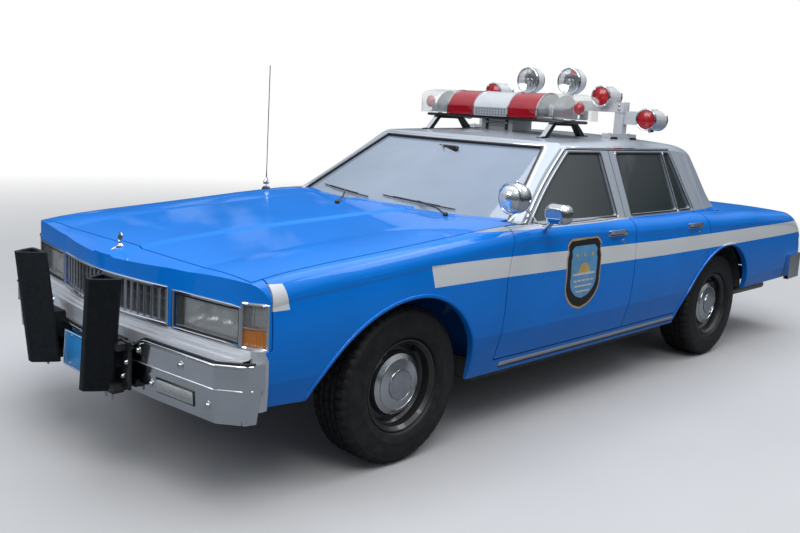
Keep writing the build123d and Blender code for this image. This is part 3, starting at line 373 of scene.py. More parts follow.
# Shapes
class Piece:
    """Collects surfaces of one or more materials into one object that rides on a body."""

    def __init__(self, name):
        self.name = name
        self.verts, self.faces, self.index, self.mats = [], [], [], []

    def add(self, shape, mat, matrix=None, mirror=False):
        verts, faces = shape
        base = len(self.verts)
        if mat not in self.mats:
            self.mats.append(mat)
        for v in verts:
            v = matrix @ Vector(v) if matrix else Vector(v)
            if mirror:
                v.y = -v.y
            self.verts.append(v)
        for f in faces:
            f = [base + i for i in f]
            self.faces.append(f[::-1] if mirror else f)
            self.index.append(self.mats.index(mat))
        return self

    def both(self, shape, mat, matrix=None):
        return self.add(shape, mat, matrix).add(shape, mat, matrix, mirror=True)

    def box(self, size, radius, mat, centre=(0, 0, 0), matrix=None, segments=2, twice=False):
        (self.both if twice else self.add)(bevelled(size, radius, segments, centre), mat, matrix)

    def bolt(self, radius, height, mat, place, way, twice=False):
        (self.both if twice else self.add)(bolt(radius, height), mat, aim(place, way))

    def done(self, body, angle=35, replaces=()):
        mesh = bpy.data.meshes.new(self.name)
        mesh.from_pydata(self.verts, [], self.faces)
        for mat in self.mats:
            mesh.materials.append(MATS[mat])
        mesh.polygons.foreach_set("material_index", self.index)
        mesh.update()
        mesh.shade_smooth()
        mesh.set_sharp_from_angle(angle=math.radians(angle))
        made = placed(self.name, mesh)
        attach(made, body)
        if replaces:
            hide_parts(*replaces)


def placed(name, data):
    """A new object in the scene."""
    made = bpy.data.objects.new(name, data)
    bpy.context.scene.collection.objects.link(made)
    return made


def spread(a, b, count):
    return [a + (b - a) * k / (count - 1) for k in range(count)]


def circle(radius, count, height=0.0):
    """Points round Z."""
    turns = (2 * math.pi * k / count for k in range(count))
    return [(radius * math.cos(t), radius * math.sin(t), height) for t in turns]


def rings(rows, closed=True, caps=True, loop=False):
    """Faces between rows of points. closed joins each row's ends, loop joins the last row to the first."""
    count = len(rows[0])
    verts = [v for row in rows for v in row]
    faces = []
    for i in range(len(rows) - (0 if loop else 1)):
        a = i * count
        b = ((i + 1) % len(rows)) * count
        for j in range(count if closed else count - 1):
            k = (j + 1) % count
            faces.append((a + j, a + k, b + k, b + j))
    if caps and closed and not loop:
        faces.append(tuple(range(count))[::-1])
        faces.append(tuple((len(rows) - 1) * count + j for j in range(count)))
    return verts, faces


def lathe(profile, count=48):
    """A profile of (radius, height) turned about Z."""
    verts, faces = rings([circle(r, count, h) for r, h in profile], caps=False)
    return verts, [f[::-1] for f in faces]


def course(points, closed):
    """The direction of a line of points at each of them."""
    count = len(points)
    for i in range(count):
        ahead = points[(i + 1) % count] if closed else points[min(i + 1, count - 1)]
        yield (ahead - points[i - 1 if closed else max(i - 1, 0)]).normalized()


def tube(points, radius, sides=10, closed=False):
    """A round bar along a line of points; the radius may be a list, one for each."""
    points = [Vector(p) for p in points]
    radii = radius if isinstance(radius, list) else [radius] * len(points)
    rows = []
    side = None
    for p, along, r in zip(points, course(points, closed), radii):
        side = side or along.orthogonal().normalized()
        side = (side - along * side.dot(along)).normalized()
        up = along.cross(side)
        rows.append([p + side * c + up * s for c, s, _ in circle(r, sides)])
    return rings(rows, caps=not closed, loop=closed)


def sweep(path, normals, profile, closed=False):
    """A moulding: profile points (across, out) carried along a path, out along the normals."""
    path = [Vector(p) for p in path]
    rows = []
    for i, along in enumerate(course(path, closed)):
        out = Vector(normals[i] if isinstance(normals, list) else normals)
        out = (out - along * out.dot(along)).normalized()
        across = along.cross(out)
        rows.append([path[i] + across * a + out * o for a, o in profile])
    return rings(rows, caps=not closed, loop=closed)


def bevelled(size, radius, segments=2, centre=(0, 0, 0)):
    """A box with rounded edges."""
    bm = bmesh.new()
    bmesh.ops.create_cube(bm, size=1.0)
    bmesh.ops.scale(bm, vec=size, verts=bm.verts)
    bmesh.ops.bevel(bm, geom=bm.edges[:], offset=radius, segments=segments, profile=0.5, affect="EDGES")
    bmesh.ops.translate(bm, vec=centre, verts=bm.verts)
    shape = [v.co.copy() for v in bm.verts], [[v.index for v in f.verts] for f in bm.faces]
    bm.free()
    return shape


def aim(place, direction):
    """A frame whose Z points along the direction."""
    return Matrix.Translation(place) @ Vector(direction).to_track_quat("Z", "Y").to_matrix().to_4x4()


def bolt(radius, height):
    """A domed bolt head on its washer."""
    profile = [(radius * 1.6, 0), (radius * 1.6, 0.0015), (radius * 1.05, 0.0018), (radius, height * 0.5)]
    profile += [(radius * math.cos(a), height * (0.5 + 0.5 * math.sin(a))) for a in (0.5, 1.0)]
    return lathe(profile + [(0.0001, height)], 14)


TREES = {}


def surface(names, start, direction, lift=0.0):
    """The first place a line meets these CAD nodes, lifted off them, and the surface's normal."""
    key = tuple(names)
    if key not in TREES:
        verts, faces = [], []
        for name in names:
            mesh = nodes[name].data
            base = len(verts)
            verts += [v.co.copy() for v in mesh.vertices]
            faces += [[base + i for i in p.vertices] for p in mesh.polygons]
        TREES[key] = BVHTree.FromPolygons(verts, faces)
    ray = Vector(direction).normalized()
    hit, normal, _, _ = TREES[key].ray_cast(Vector(start), ray)
    if hit is None:
        return None
    if normal.dot(ray) > 0:
        normal = -normal
    return hit + normal * lift, normal


# The nose
# Places along X of the nose and the bumper at distances from the centre plane
NOSE = (
    ((0.0, 2.402), (0.225, 2.382), (0.440, 2.346)),
    ((0.440, 2.346), (0.640, 2.321), (0.831, 2.290)),
    ((0.831, 2.290), (0.895, 2.268), (0.945, 2.222)),
)
BUMPER = ((0.0, 2.483), (0.5, 2.443), (0.845, 2.404), (0.94, 2.33), (0.955, 2.262))


def between(table, at):
    """Straight interpolation in a table of pairs."""
    for (a, fa), (b, fb) in zip(table, table[1:]):
        if at <= b:
            return fa + (fb - fa) * (at - a) / (b - a)
    return table[-1][1]


def nose(y):
    """Place along X of the nose's front face at a distance from the centre plane."""
    y = abs(y)
    for three in NOSE:
        if y <= three[-1][0]:
            break
    (a, fa), (b, fb), (c, fc) = three
    first = fa * (y - b) * (y - c) / ((a - b) * (a - c))
    return first + fb * (y - a) * (y - c) / ((b - a) * (b - c)) + fc * (y - a) * (y - b) / ((c - a) * (c - b))


def outward(y):
    """The nose's outward direction at a distance from the centre plane."""
    slope = (nose(y + 0.004) - nose(y - 0.004)) / 0.008 if y > 0.01 else 0.0
    return Vector((1.0, -slope, 0.0)).normalized()


def on_nose(y, z, lift=0.0):
    return Vector((nose(y), y, z)) + outward(y) * lift


def along_nose(piece, y, z, lift, profile, mat, steps=16):
    """A moulding that follows the nose at one height."""
    ways = spread(*y, steps)
    piece.both(sweep([on_nose(a, z, lift) for a in ways], [outward(a) for a in ways], profile), mat)


def framed(piece, y, z, width, height, mat, lift=0.0, steps=9):
    """A rectangular rim that follows the nose round an opening."""
    ways = spread(*y, steps)
    path = [(a, z[0]) for a in ways] + [(a, z[1]) for a in reversed(ways)]
    points = [on_nose(a, b, lift) for a, b in path]
    normals = [outward(a) for a, b in path]
    profile = [(-width / 2, -height), (width / 2, -height), (width / 2, height * 0.6), (width / 4, height)]
    profile += [(-width / 4, height), (-width / 2, height * 0.6)]
    piece.both(sweep(points, normals, profile, closed=True), mat)


def head_lamps():
    """Chrome rims, black inner lines, and the reflectors behind the glass."""
    rims = Piece("lamp_rims")
    framed(rims, (0.467, 0.8345), (0.640, 0.785), 0.011, 0.006, "chrome")
    framed(rims, (0.4765, 0.8255), (0.6495, 0.7755), 0.008, 0.0015, "gasket", lift=-0.001)
    ways = spread(0.842, 0.93, 8)
    corner = [on_nose(y, 0.641) for y in ways] + [on_nose(y, 0.804) for y in reversed(ways)]
    normals = [outward(y) for y in ways]
    profile = [(-0.005, -0.006), (0.005, -0.006), (0.005, 0.003), (0.0, 0.005), (-0.005, 0.003)]
    rims.both(sweep(corner, normals + normals[::-1], profile, closed=True), "chrome")
    divider = [(-0.002, -0.004), (0.002, -0.004), (0.002, 0.001), (-0.002, 0.001)]
    along_nose(rims, (0.845, 0.926), 0.713, -0.002, divider, "grey", 8)
    rims.done("body")

    bowls = Piece("lamp_reflectors")
    for (inner, outer), depth in (((0.479, 0.826), 0.060), ((0.846, 0.905), 0.022)):
        rows = []
        for across in spread(-1, 1, 17):
            place = inner + (outer - inner) * (across + 1) / 2
            row = []
            for level in spread(-1, 1, 9):
                dish = (1 - across**2) ** 0.5 * (1 - level**2) ** 0.5
                back = 0.050 + depth * dish * (0.75 + 0.25 * abs(math.sin(across * 7)))
                row.append(on_nose(place, 0.7125 + 0.0615 * level, -back))
            rows.append(row)
        bowls.both(rings(rows, closed=False), "reflector")
    for y in (0.56, 0.745):
        at = aim(on_nose(y, 0.7125, -0.094), outward(y))
        bowls.both(lathe([(0.009, 0), (0.009, 0.02), (0.006, 0.03), (0.0001, 0.033)], 16), "grey", at)
        bowls.both(lathe([(0.0001, 0.036), (0.013, 0.036), (0.014, 0.030), (0.013, 0.028)], 20), "satin", at)
    at = aim(on_nose(0.875, 0.675, -0.066), outward(0.875))
    bowls.both(lathe([(0.010, 0), (0.012, 0.012), (0.008, 0.024), (0.0001, 0.028)], 16), "amber", at)
    bowls.done("body")


def grille_back():
    """Dark radiator behind the grille, with its fins, and the bright surround."""
    back = Piece("radiator")
    back.box((0.03, 0.84, 0.125), 0.004, "black", (2.262, 0, 0.7175))
    for z in spread(0.664, 0.771, 16):
        back.box((0.008, 0.83, 0.0022), 0.0006, "gasket", (2.279, 0, z), segments=1)
    for side in (-0.22, 0.0, 0.22):
        back.box((0.012, 0.012, 0.12), 0.002, "black", (2.283, side, 0.7175), segments=1)
    back.done("body")
    surround = Piece("grille_surround")
    profile = [(-0.006, -0.008), (0.006, -0.008), (0.006, 0.002), (0.003, 0.006), (-0.003, 0.006),
               (-0.006, 0.002)]
    for z, lift in ((0.789, 0.002), (0.645, 0.004)):
        along_nose(surround, (0.0, 0.436), z, lift, profile, "chrome")
    ends = [on_nose(0.4365, z, 0.003) for z in spread(0.642, 0.792, 6)]
    profile = [(-0.005, -0.008), (0.005, -0.008), (0.005, 0.003), (0.0, 0.006), (-0.005, 0.003)]
    surround.both(sweep(ends, outward(0.4365), profile), "chrome")
    surround.done("body")
    bars = Piece("grille_bar_faces")
    face = [(-0.0088, -0.0015), (0.0088, -0.0015), (0.0088, 0.0004), (0.0012, 0.0045), (-0.0012, 0.0045),
            (-0.0088, 0.0004)]
    for step in range(11):
        y = BAR_PITCH * step
        bar = sweep([on_nose(y, z, -0.0058) for z in (0.6535, 0.7815)], outward(y), face)
        (bars.both if step else bars.add)(bar, "grille")
    bars.done("body")


def ornament():
    """Upright hood ornament: a thin blank shield in a ring on a spring foot, with a short crest bar ahead."""
    made = Piece("hood_ornament")
    foot = Vector((2.318, 0.0, 0.884))
    made.add(lathe([(0.020, -0.004), (0.020, 0.002), (0.012, 0.006), (0.006, 0.012), (0.005, 0.020)], 24),
             "chrome",
             Matrix.Translation(foot))
    loop = [(foot.x, b * 17, foot.z + 0.037 + a * 20) for a, b, _ in circle(0.001, 24)]
    made.add(tube(loop, 0.0026, 8, closed=True), "chrome")
    made.add(lathe([(0.0001, -0.001), (0.0135, -0.001), (0.0135, 0.001), (0.0001, 0.001)], 24), "satin",
             aim(foot + Vector((0, 0, 0.037)), (1, 0, 0)))
    crest = [(2.398 - 0.078 * t, 0.0, 0.834 + 0.053 * t**0.6) for t in spread(0.0, 1.0, 9)]
    made.add(tube(crest, [0.0015, 0.003] + [0.004] * 6 + [0.003]), "chrome")
    made.done("body")


def silver_filler():
    """Stepped silver panel from the lamps' foot out to the bumper, and down the corner to its lower edge."""
    made = Piece("bumper_filler")
    steps = ((-0.12, 0.655), (-0.05, 0.6365), (0.03, 0.634), (0.10, 0.628), (0.30, 0.6235), (0.36, 0.618),
             (0.66, 0.6135), (0.72, 0.6075), (0.97, 0.6035), (1.0, 0.594))
    rows = []
    for ya, yb in zip(spread(0.0, 0.93, 40), spread(0.0, 0.90, 40)):
        xa, xb = nose(ya), between(BUMPER, yb) - 0.036
        course_down = (*steps, (1.0, bumper_height(ya) - 0.025))
        rows.append([(xa + (xb - xa) * t, ya + (yb - ya) * t, z) for t, z in course_down])
    made.both(rings(rows, closed=False), "filler")
    strip = []
    for z in spread(0.415, 0.640, 8):
        lean = 0.004 * math.sin((z - 0.415) * 14)
        strip.append([(2.236, 0.9355 + lean, z), (2.262, 0.939 + lean, z), (2.285, 0.929 + lean, z),
                      (2.293, 0.905, z), (2.26, 0.90, z), (2.236, 0.905, z)])
    made.both(rings(strip), "filler")
    made.done("body")


def bumper_height(y):
    """Height of the bumper's top edge, lower between the push bars."""
    return 0.543 + 0.055 * min(1.0, max(0.0, (abs(y) - 0.330) / 0.100))


def bumper_trim():
    """Rolled upper edge, the dark line under it, lower lamps, domed bolts and the blank front plate."""
    made = Piece("bumper_trim")
    ways = spread(-0.945, 0.945, 91)
    normals = [Vector((1.0, (0.9 if y > 0 else -0.9) if abs(y) > 0.85 else 0.1 * y, 0)) for y in ways]
    for gap, drop, reach, mat in ((0.0, 0.007, 0.007, "chrome"), (0.010, -0.004, 0.004, "gasket")):
        profile = [(reach * math.sin(a), reach * math.cos(a)) for a in spread(-1.7, 1.7, 9)]
        path = [(between(BUMPER, abs(y)) - gap, y, bumper_height(y) - drop) for y in ways]
        made.add(sweep(path, normals, profile), mat)
    path = [(between(BUMPER, abs(y)) - 0.001, y, 0.503) for y in ways]
    crease = [(-0.003, -0.003), (0.003, -0.003), (0.003, 0.001), (0.0, 0.003), (-0.003, 0.001)]
    made.add(sweep(path, normals, crease), "satin")
    made.done("body")

    lamps = Piece("bumper_lamps")
    for side in (1, -1):
        frame_at = aim(*surface(["front_bumper"], (3.0, side * 0.615, 0.436), (-1, 0, 0)))
        lamps.box((0.228, 0.062, 0.012), 0.005, "black", (0, 0, -0.002), frame_at, segments=3)
        lamps.box((0.212, 0.048, 0.008), 0.003, "reflector", (0, 0, 0.002), frame_at)
        lamps.box((0.210, 0.046, 0.010), 0.004, "lens", (0, 0, 0.005), frame_at)
        for across in spread(-0.098, 0.098, 24):
            lamps.box((0.0022, 0.042, 0.003), 0.001, "lens", (across, 0, 0.010), frame_at, segments=1)
        for y, z in ((0.66, 0.548), (0.40, 0.548), (0.80, 0.430), (0.47, 0.430)):
            lamps.bolt(0.011, 0.010, "chrome", *surface(["front_bumper"], (3.0, side * y, z), (-1, 0, 0)))
    lamps.done("body")

    plate = Piece("front_plate")
    turn = Matrix.Translation((2.490, 0, 0.440)) @ Matrix.Rotation(-0.06, 4, "Y")
    plate.box((0.003, 0.305, 0.153), 0.0014, "plate", matrix=turn)
    rim = [(0.003, a, b) for a, b in ((-0.148, -0.072), (0.148, -0.072), (0.148, 0.072), (-0.148, 0.072))]
    plate.add(sweep(rim, (1, 0, 0), [(-0.002, -0.001), (0.002, -0.001), (0.0, 0.001)], closed=True), "white",
              turn)
    plate.box((0.02, 0.20, 0.12), 0.004, "black", (-0.014, 0, 0), turn)
    for y, z in ((-0.089, 0.06), (0.089, 0.06), (-0.089, -0.06), (0.089, -0.06)):
        plate.add(bolt(0.005, 0.004), "satin", turn @ aim((0.0015, y, z), (1, 0, 0)))
    plate.done("body")


def push_bar_steel():
    """Black plates and straps that carry the pads, with their bolts."""
    made = Piece("push_bar_brackets")
    for z, low_y in ((0.560, 0.262), (0.392, 0.238)):
        made.box((0.075, 0.150, 0.030), 0.004, "black", (2.487, low_y + 0.035, z), twice=True)
    made.box((0.012, 0.115, 0.190), 0.003, "black", (2.478, 0.335, 0.485), twice=True)
    made.box((0.060, 0.012, 0.150), 0.003, "black", (2.470, 0.284, 0.470), twice=True)
    made.box((0.050, 0.110, 0.012), 0.003, "black", (2.500, 0.285, 0.374), twice=True)
    for y, z in ((0.350, 0.560), (0.375, 0.500), (0.350, 0.440)):
        made.bolt(0.009, 0.010, "chrome", (2.486, y, z), (1, 0, 0), twice=True)
    for y in (0.262, 0.312):
        made.bolt(0.009, 0.014, "satin", (2.512, y, 0.380), (0, 0, 1), twice=True)
        stud = lathe([(0.0001, 0), (0.005, 0), (0.005, 0.03), (0.0001, 0.03)], 10)
        made.both(stud, "satin", aim((2.512, y, 0.369), (0, 0, -1)))
    made.done("body")


# The body's trim
def slope_front(z, ahead=0.0):
    return 0.578 - (z - 1.004) * 1.45 + ahead


def slope_rear(z, behind=0.0):
    return -1.087 + (z - 1.004) * 0.376 - behind


def rounded(corners, radius, step=0.05):
    """A closed outline with rounded corners and extra points along its straight runs."""
    out = []
    count = len(corners)
    for i in range(count):
        a, b, c = (Vector(corners[(i + k - 1) % count]) for k in range(3))
        to_a, to_c = (a - b).normalized(), (c - b).normalized()
        first, last = b + to_a * radius, b + to_c * radius
        for t in (0.0, 0.25, 0.5, 0.75, 1.0):
            out.append(first * (1 - t) ** 2 + b * 2 * t * (1 - t) + last * t**2)
        run = c + (b - c).normalized() * radius - last
        pieces = int(run.length / step)
        out += [last + run * k / (pieces + 1) for k in range(1, pieces + 1)]
    return out


def on_side(points, names, side):
    """Places and normals where lines across the car meet its left or right side."""
    ends = {1: "_left", -1: "_right"}
    names = [n if n == "roof" else n + ends[side] for n in names]
    places, normals = [], []
    for x, z in points:
        hit = surface(names, (x, side * 1.4, z), (0, -side, 0))
        if hit and abs(hit[0].y) > 0.5:
            places.append(hit[0])
            normals.append(hit[1])
    return places, normals


STRIP = [(-0.5, -0.3), (0.5, -0.3), (0.5, 0.2), (0.25, 0.5), (-0.25, 0.5), (-0.5, 0.2)]


def strip_profile(width, height):
    return [(a * width, b * height) for a, b in STRIP]


def dense(points, step=0.05):
    out = []
    for (xa, za), (xb, zb) in zip(points, points[1:]):
        pieces = max(1, int(math.hypot(xb - xa, zb - za) / step))
        out += [(xa + (xb - xa) * k / pieces, za + (zb - za) * k / pieces) for k in range(pieces)]
    return out + [points[-1]]


def grow(corners, amount):
    """Moves an outline's corners outward from its middle along both of its edges."""
    count = len(corners)
    area = sum(corners[i][0] * corners[(i + 1) % count][1] - corners[(i + 1) % count][0] * corners[i][1]
               for i in range(count))
    turn = 1 if area > 0 else -1
    out = []
    for i in range(count):
        a, b, c = (Vector(corners[(i + k - 1) % count]) for k in range(3))
        n1, n2 = (Vector((d.y, -d.x)) * turn for d in ((b - a).normalized(), (c - b).normalized()))
        out.append(b + (n1 + n2) * amount / (1 + n1.dot(n2)))
    return out


# Window openings in the doors, the last one behind the rear door's division bar
WINDOWS = (
    ("front", [(slope_front(1.004), 1.004), (slope_front(1.334), 1.334), (-0.177, 1.334), (-0.177, 1.004)]),
    ("rear", [(-0.335, 1.004), (-0.335, 1.334), (-0.873, 1.334), (-0.893, 1.004)]),
    ("rear", [(-0.921, 1.004), (-0.901, 1.334), (slope_rear(1.334), 1.334), (slope_rear(1.004), 1.004)]),
)


def door_trim():
    """Window rubbers with bright beads, handles and locks, on the door that carries them."""
    grip = [(0.082, 0.004, 0.004), (0.074, 0.018, 0.006), (0.0, 0.022, 0.006), (-0.048, 0.018, 0.005),
            (-0.060, 0.006, 0.003)]
    for side, name in SIDES:
        for end, x, z in (("front", -0.062, 0.926), ("rear", -0.972, 0.915)):
            made = Piece(f"door_trim_{end}_{name}")
            for corners in (c for which, c in WINDOWS if which == end):
                for amount, wide, high, mat in ((0.0035, 0.008, 0.004, "gasket"),
                                                (0.0105, 0.004, 0.004, "chrome")):
                    outline = on_side(rounded(grow(corners, amount), 0.014), [f"door_{end}"], side)
                    made.add(sweep(*outline, strip_profile(wide, high), closed=True), mat)
            place = surface([f"door_{end}_{name}"], (x, side * 1.4, z), (0, -side, 0))[0]
            at = Matrix.Translation(place)
            made.box((0.186, 0.006, 0.032), 0.0028, "chrome", (0, side * 0.001, 0), at, segments=3)
            made.box((0.140, 0.005, 0.020), 0.002, "gasket", (0.012, side * 0.003, -0.003), at)
            flap = [(-0.003, -0.009), (0.003, -0.009), (0.004, 0.009), (-0.004, 0.009)]
            made.add(sweep([(a, side * b, c) for a, b, c in grip], (0, 0, 1), flap), "chrome", at)
            made.add(lathe([(0.011, 0), (0.011, 0.004), (0.007, 0.006), (0.0001, 0.006)], 20), "chrome",
                     aim(place + Vector((-0.060, 0, -0.048)), (0, side, 0.1)))
            made.done(f"{end}_{name}_door")


def side_trim():
    """Sill and drip mouldings, pillar brights and arch lips, on each side."""
    made = Piece("side_mouldings")
    lips = Piece("arch_lips")
    for side, name in SIDES:
        runs = (
            (dense([(0.925, 0.338), (-0.895, 0.338)], 0.1), ["body_side"], 0.022, 0.006, "chrome"),
            (dense([(0.925, 0.3225), (-0.895, 0.3225)], 0.1), ["body_side"], 0.006, 0.006, "gasket"),
            (dense([(slope_front(0.998, 0.058), 0.998), (slope_front(1.350, 0.058), 1.350)]),
             ["body_side", "roof"],
             0.012, 0.006, "chrome"),
            (dense([(slope_front(1.362, 0.040), 1.362), (slope_rear(1.362, 0.040), 1.362)]),
             ["body_side", "roof"], 0.009, 0.008, "chrome"),
            (dense([(slope_rear(1.350, 0.043), 1.350), (slope_rear(1.000, 0.043), 1.000)]),
             ["body_side", "roof"], 0.008, 0.006, "chrome"),
        )
        for points, names, wide, high, mat in runs:
            made.add(sweep(*on_side(points, names, side), strip_profile(wide, high)), mat)
        for end, axle, ahead, behind, top, low_front, low_rear in (
            ("fender", AXLE_FRONT, (0.552, 0.410), (0.366, 0.527), 0.747, 0.412, 0.345),
            ("body_side", AXLE_REAR, (0.480, 0.507), (0.365, 0.520), 0.757, 0.330, 0.435),
        ):
            points = []
            for (run, level), way, low in ((ahead, 1, low_front), (behind, -1, low_rear)):
                radius = (run**2 + (top - level) ** 2) / (2 * (top - level))
                centre = top - radius
                reach = math.asin((low - centre) / radius)
                radius += 0.0075
                turns = spread(reach, math.pi / 2, 26)
                arc = [(axle + way * radius * math.cos(a), centre + radius * math.sin(a)) for a in turns]
                points += arc if way > 0 else arc[::-1][1:]
            profile = [(-0.0075, -0.012), (0.010, -0.004), (0.008, 0.003), (0.002, 0.0065), (-0.005, 0.006),
                       (-0.0075, 0.002)]
            if side < 0:
                profile = [(-a, b) for a, b in reversed(profile)]
            lips.add(sweep(*on_side(points, [end], side), profile), "side")
    made.done("body")
    lips.done("body")


def screen_trim():
    """Bright frames and rubbers round both screens, and the wipers."""
    made = Piece("screen_frames")
    for way, names, (low_y, low_z), (high_y, high_z) in (
        (1, ["windshield", "cowl"], (0.787, 0.990), (0.592, 1.356)),
        (-1, ["rear_window", "rear_deck"], (0.655, 0.985), (0.560, 1.290)),
    ):
        names = ["body_side_left", "body_side_right", "roof", *names]
        slant = (high_y - low_y) / (high_z - low_z)
        for out, wide, high, mat in ((0.016, 0.020, 0.007, "chrome"), (0.001, 0.012, 0.010, "gasket")):
            half = [(low_y + (z - low_z) * slant + out, z) for z in spread(low_z + 0.012, high_z - 0.004, 12)]
            half += [(y, high_z + out * 0.75) for y in spread(high_y, 0.0, 12)]
            whole = half + [(-y, z) for y, z in reversed(half[:-1])]
            hits = [surface(names, (way * 3.2, y, z), (-way, 0, 0)) for y, z in whole]
            places, normals = (list(part) for part in zip(*filter(None, hits)))
            made.add(sweep(places, normals, strip_profile(wide, high)), mat)
    made.done("body")

    wipers = Piece("wipers")
    for pivot, tip in ((0.50, -0.04), (-0.10, -0.62)):
        line = []
        for y in spread(pivot - 0.03, tip, 12):
            z = 1.022 + 0.020 * (pivot - y) / 0.55
            line.append(surface(["windshield", "cowl"], (3.2, y, z), (-1, 0, 0), 0.007)[0])
        wipers.add(tube(line, 0.0032, 6), "gasket")
        wipers.add(tube([p + Vector((0.006, 0, 0.006)) for p in line[2:-2]], 0.0022, 6), "black")
        foot, normal = surface(["cowl", "hood", "windshield"], (3.2, pivot, 1.004), (-1, 0, 0), 0.004)
        arm = [foot, (foot + line[3]) / 2 + Vector((0.02, 0, 0.012)), line[5] + Vector((0.008, 0, 0.008))]
        wipers.add(tube(arm, 0.0045, 8), "black")
        cap = lathe([(0.014, -0.004), (0.014, 0.006), (0.009, 0.014), (0.0001, 0.015)], 18)
        wipers.add(cap, "black", aim(foot, normal))
    wipers.done("body")


def shield_rows(width):
    """A shield's outline as rows of height and half width: a shallow crown on top, a pointed foot."""
    rows = []
    for t in spread(0.0, 1.0, 25):
        if t < 0.10:
            half = 0.74 + 0.26 * (t / 0.10) ** 0.6
        elif t < 0.24:
            half = 1.0 - 0.07 * math.sin(math.pi * (t - 0.10) / 0.14)
        elif t < 0.62:
            half = 1.0 - 0.02 * (t - 0.24) / 0.38
        else:
            half = 0.98 * (1 - ((t - 0.62) / 0.38) ** 2.1) ** 0.62 + 0.02
        rows.append((t, half * width / 2))
    return rows


def door_shields():
    """A generic shield on each front door: tan edge, black border, pale blue field with a plain sunrise."""
    for side, name in SIDES:
        made = Piece(f"door_shield_{name}")
        door = [f"door_front_{name}"]
        centre, low, high = 0.256, 0.548, 0.922

        def patch(rows, mat, columns=10, lift=0.0023):
            grid = []
            for z, left, right in rows:
                ways = spread(left, right, columns)
                grid.append([surface(door, (x, side * 1.4, z), (0, -side, 0), lift)[0] for x in ways])
            verts, faces = rings(grid, closed=False)
            made.add((verts, faces if side < 0 else [f[::-1] for f in faces]), mat)

        for shrink, mat, lift in ((0.0, "tan", 0.0008), (0.008, "gasket", 0.0013), (0.040, "sky", 0.0018)):
            top, foot = high - shrink, low + shrink * 1.5
            rows = shield_rows(0.318 - 2 * shrink)
            patch([(top + (foot - top) * t, centre - half, centre + half) for t, half in rows], mat, lift=lift)
        # Sunrise: a half disc on a level bar over three waves, and three diamonds above
        disc = [(0.742 + 0.052 * math.sin(a), 0.052 * math.cos(a)) for a in spread(math.pi / 2, 0.0, 13)]
        patch([(z, centre - half, centre + half) for z, half in disc], "gold")
        patch([(z, centre - 0.100, centre + 0.100) for z in (0.742, 0.730)], "white", 12)
        for level in (0.700, 0.672, 0.644):
            half = 0.095 - (0.700 - level) * 0.5
            for x in spread(centre - half, centre + half - 0.036, 5):
                patch([(level + 0.006, x, x + 0.034), (level - 0.004, x + 0.004, x + 0.030)], "white", 4)
        for x in (centre - 0.070, centre, centre + 0.070):
            patch([(0.834 + up, x - half, x + half)
                   for up, half in ((0.012, 0.001), (0, 0.012), (-0.012, 0.001))],
                  "gold", 4)
        made.done(f"front_{name}_door")


# Wheels
def tyre_rings(side, middle, axle):
    """A tyre with grooved tread, blocks at its shoulders and moulded rings on its sides."""
    half = [
        (0.191, -0.083), (0.204, -0.088), (0.214, -0.1035), (0.226, -0.109), (0.242, -0.1115),
        (0.246, -0.1127), (0.250, -0.1115), (0.276, -0.1125), (0.300, -0.1105), (0.316, -0.1065),
        (0.318, -0.1075), (0.322, -0.1055), (0.335, -0.097), (0.342, -0.088), (0.3462, -0.079),
    ]
    for groove in (-0.048, -0.017):
        half += [(0.3475, groove - 0.0065), (0.3395, groove - 0.005), (0.3395, groove + 0.005),
                 (0.3478, groove + 0.0065)]
    profile = half + [(0.348, 0.0)] + [(r, -h) for r, h in reversed(half)]
    rows = []
    for k, (up, ahead, _) in enumerate(circle(1.0, 192)):
        row = []
        for r, h in profile:
            cut = 0.0
            if r > 0.3445 and abs(h) > 0.054 and k % 4 == 0:
                cut = 0.007
            elif 0.330 < r < 0.3445 and abs(h) > 0.08 and k % 4 == 0:
                cut = 0.006
            elif r > 0.3445 and abs(h) < 0.054 and k % 4 == 2:
                cut = 0.005
            row.append((axle + (r - cut) * ahead, middle + side * h, HUB + (r - cut) * up))
        rows.append(row)
    verts, faces = rings(rows, loop=True)
    return verts, faces if side > 0 else [f[::-1] for f in faces]


def wheels():
    """Tyres, the rings and vents of the wheel discs, valves and balance weights."""
    for end, axle, track in (("front", AXLE_FRONT, 0.785), ("rear", AXLE_REAR, 0.772)):
        for side, name in SIDES:
            body = f"{end}_{name}_wheel"
            tyre = Piece(f"tyre_tread_{end}_{name}")
            tyre.add(tyre_rings(side, side * track, axle), "tyre")
            tyre.done(body, angle=28, replaces=(f"tyre_{end}_{name}",))
            made = Piece(f"wheel_detail_{end}_{name}")
            at = aim((axle, side * track, HUB), (0, side, 0))
            for radius, depth, wide, mat in (
                (0.0665, 0.0865, 0.0022, "chrome"),
                (0.112, 0.0735, 0.0018, "chrome"),
                (0.139, 0.049, 0.003, "gasket"),
            ):
                made.add(tube(circle(radius, 56, depth), wide, 8, closed=True), mat, at)
            made.add(lathe([(0.0001, 0.0892), (0.030, 0.0889), (0.058, 0.0876), (0.0635, 0.0864)]), "satin", at)
            # The dark rubber pads stand for the vent holes: their dark is painted shade inside each hole.
            for k in range(10):
                turn = at @ Matrix.Rotation(2 * math.pi * k / 10, 4, "Z")
                made.box((0.014, 0.036, 0.004), 0.0018, "gasket", (0.1565, 0, 0.0315), turn)
            stem = at @ Matrix.Rotation(0.9, 4, "Z")
            made.add(tube([(0.172, 0, 0.030), (0.170, 0, 0.052), (0.166, 0, 0.066)], 0.0042, 10), "rubber",
                     stem)
            for k in range(3):
                weight = at @ Matrix.Rotation(2.2 + 0.16 * k, 4, "Z")
                made.box((0.006, 0.020, 0.008), 0.002, "grey", (0.1955, 0, 0.091), weight, segments=1)
            made.done(body)


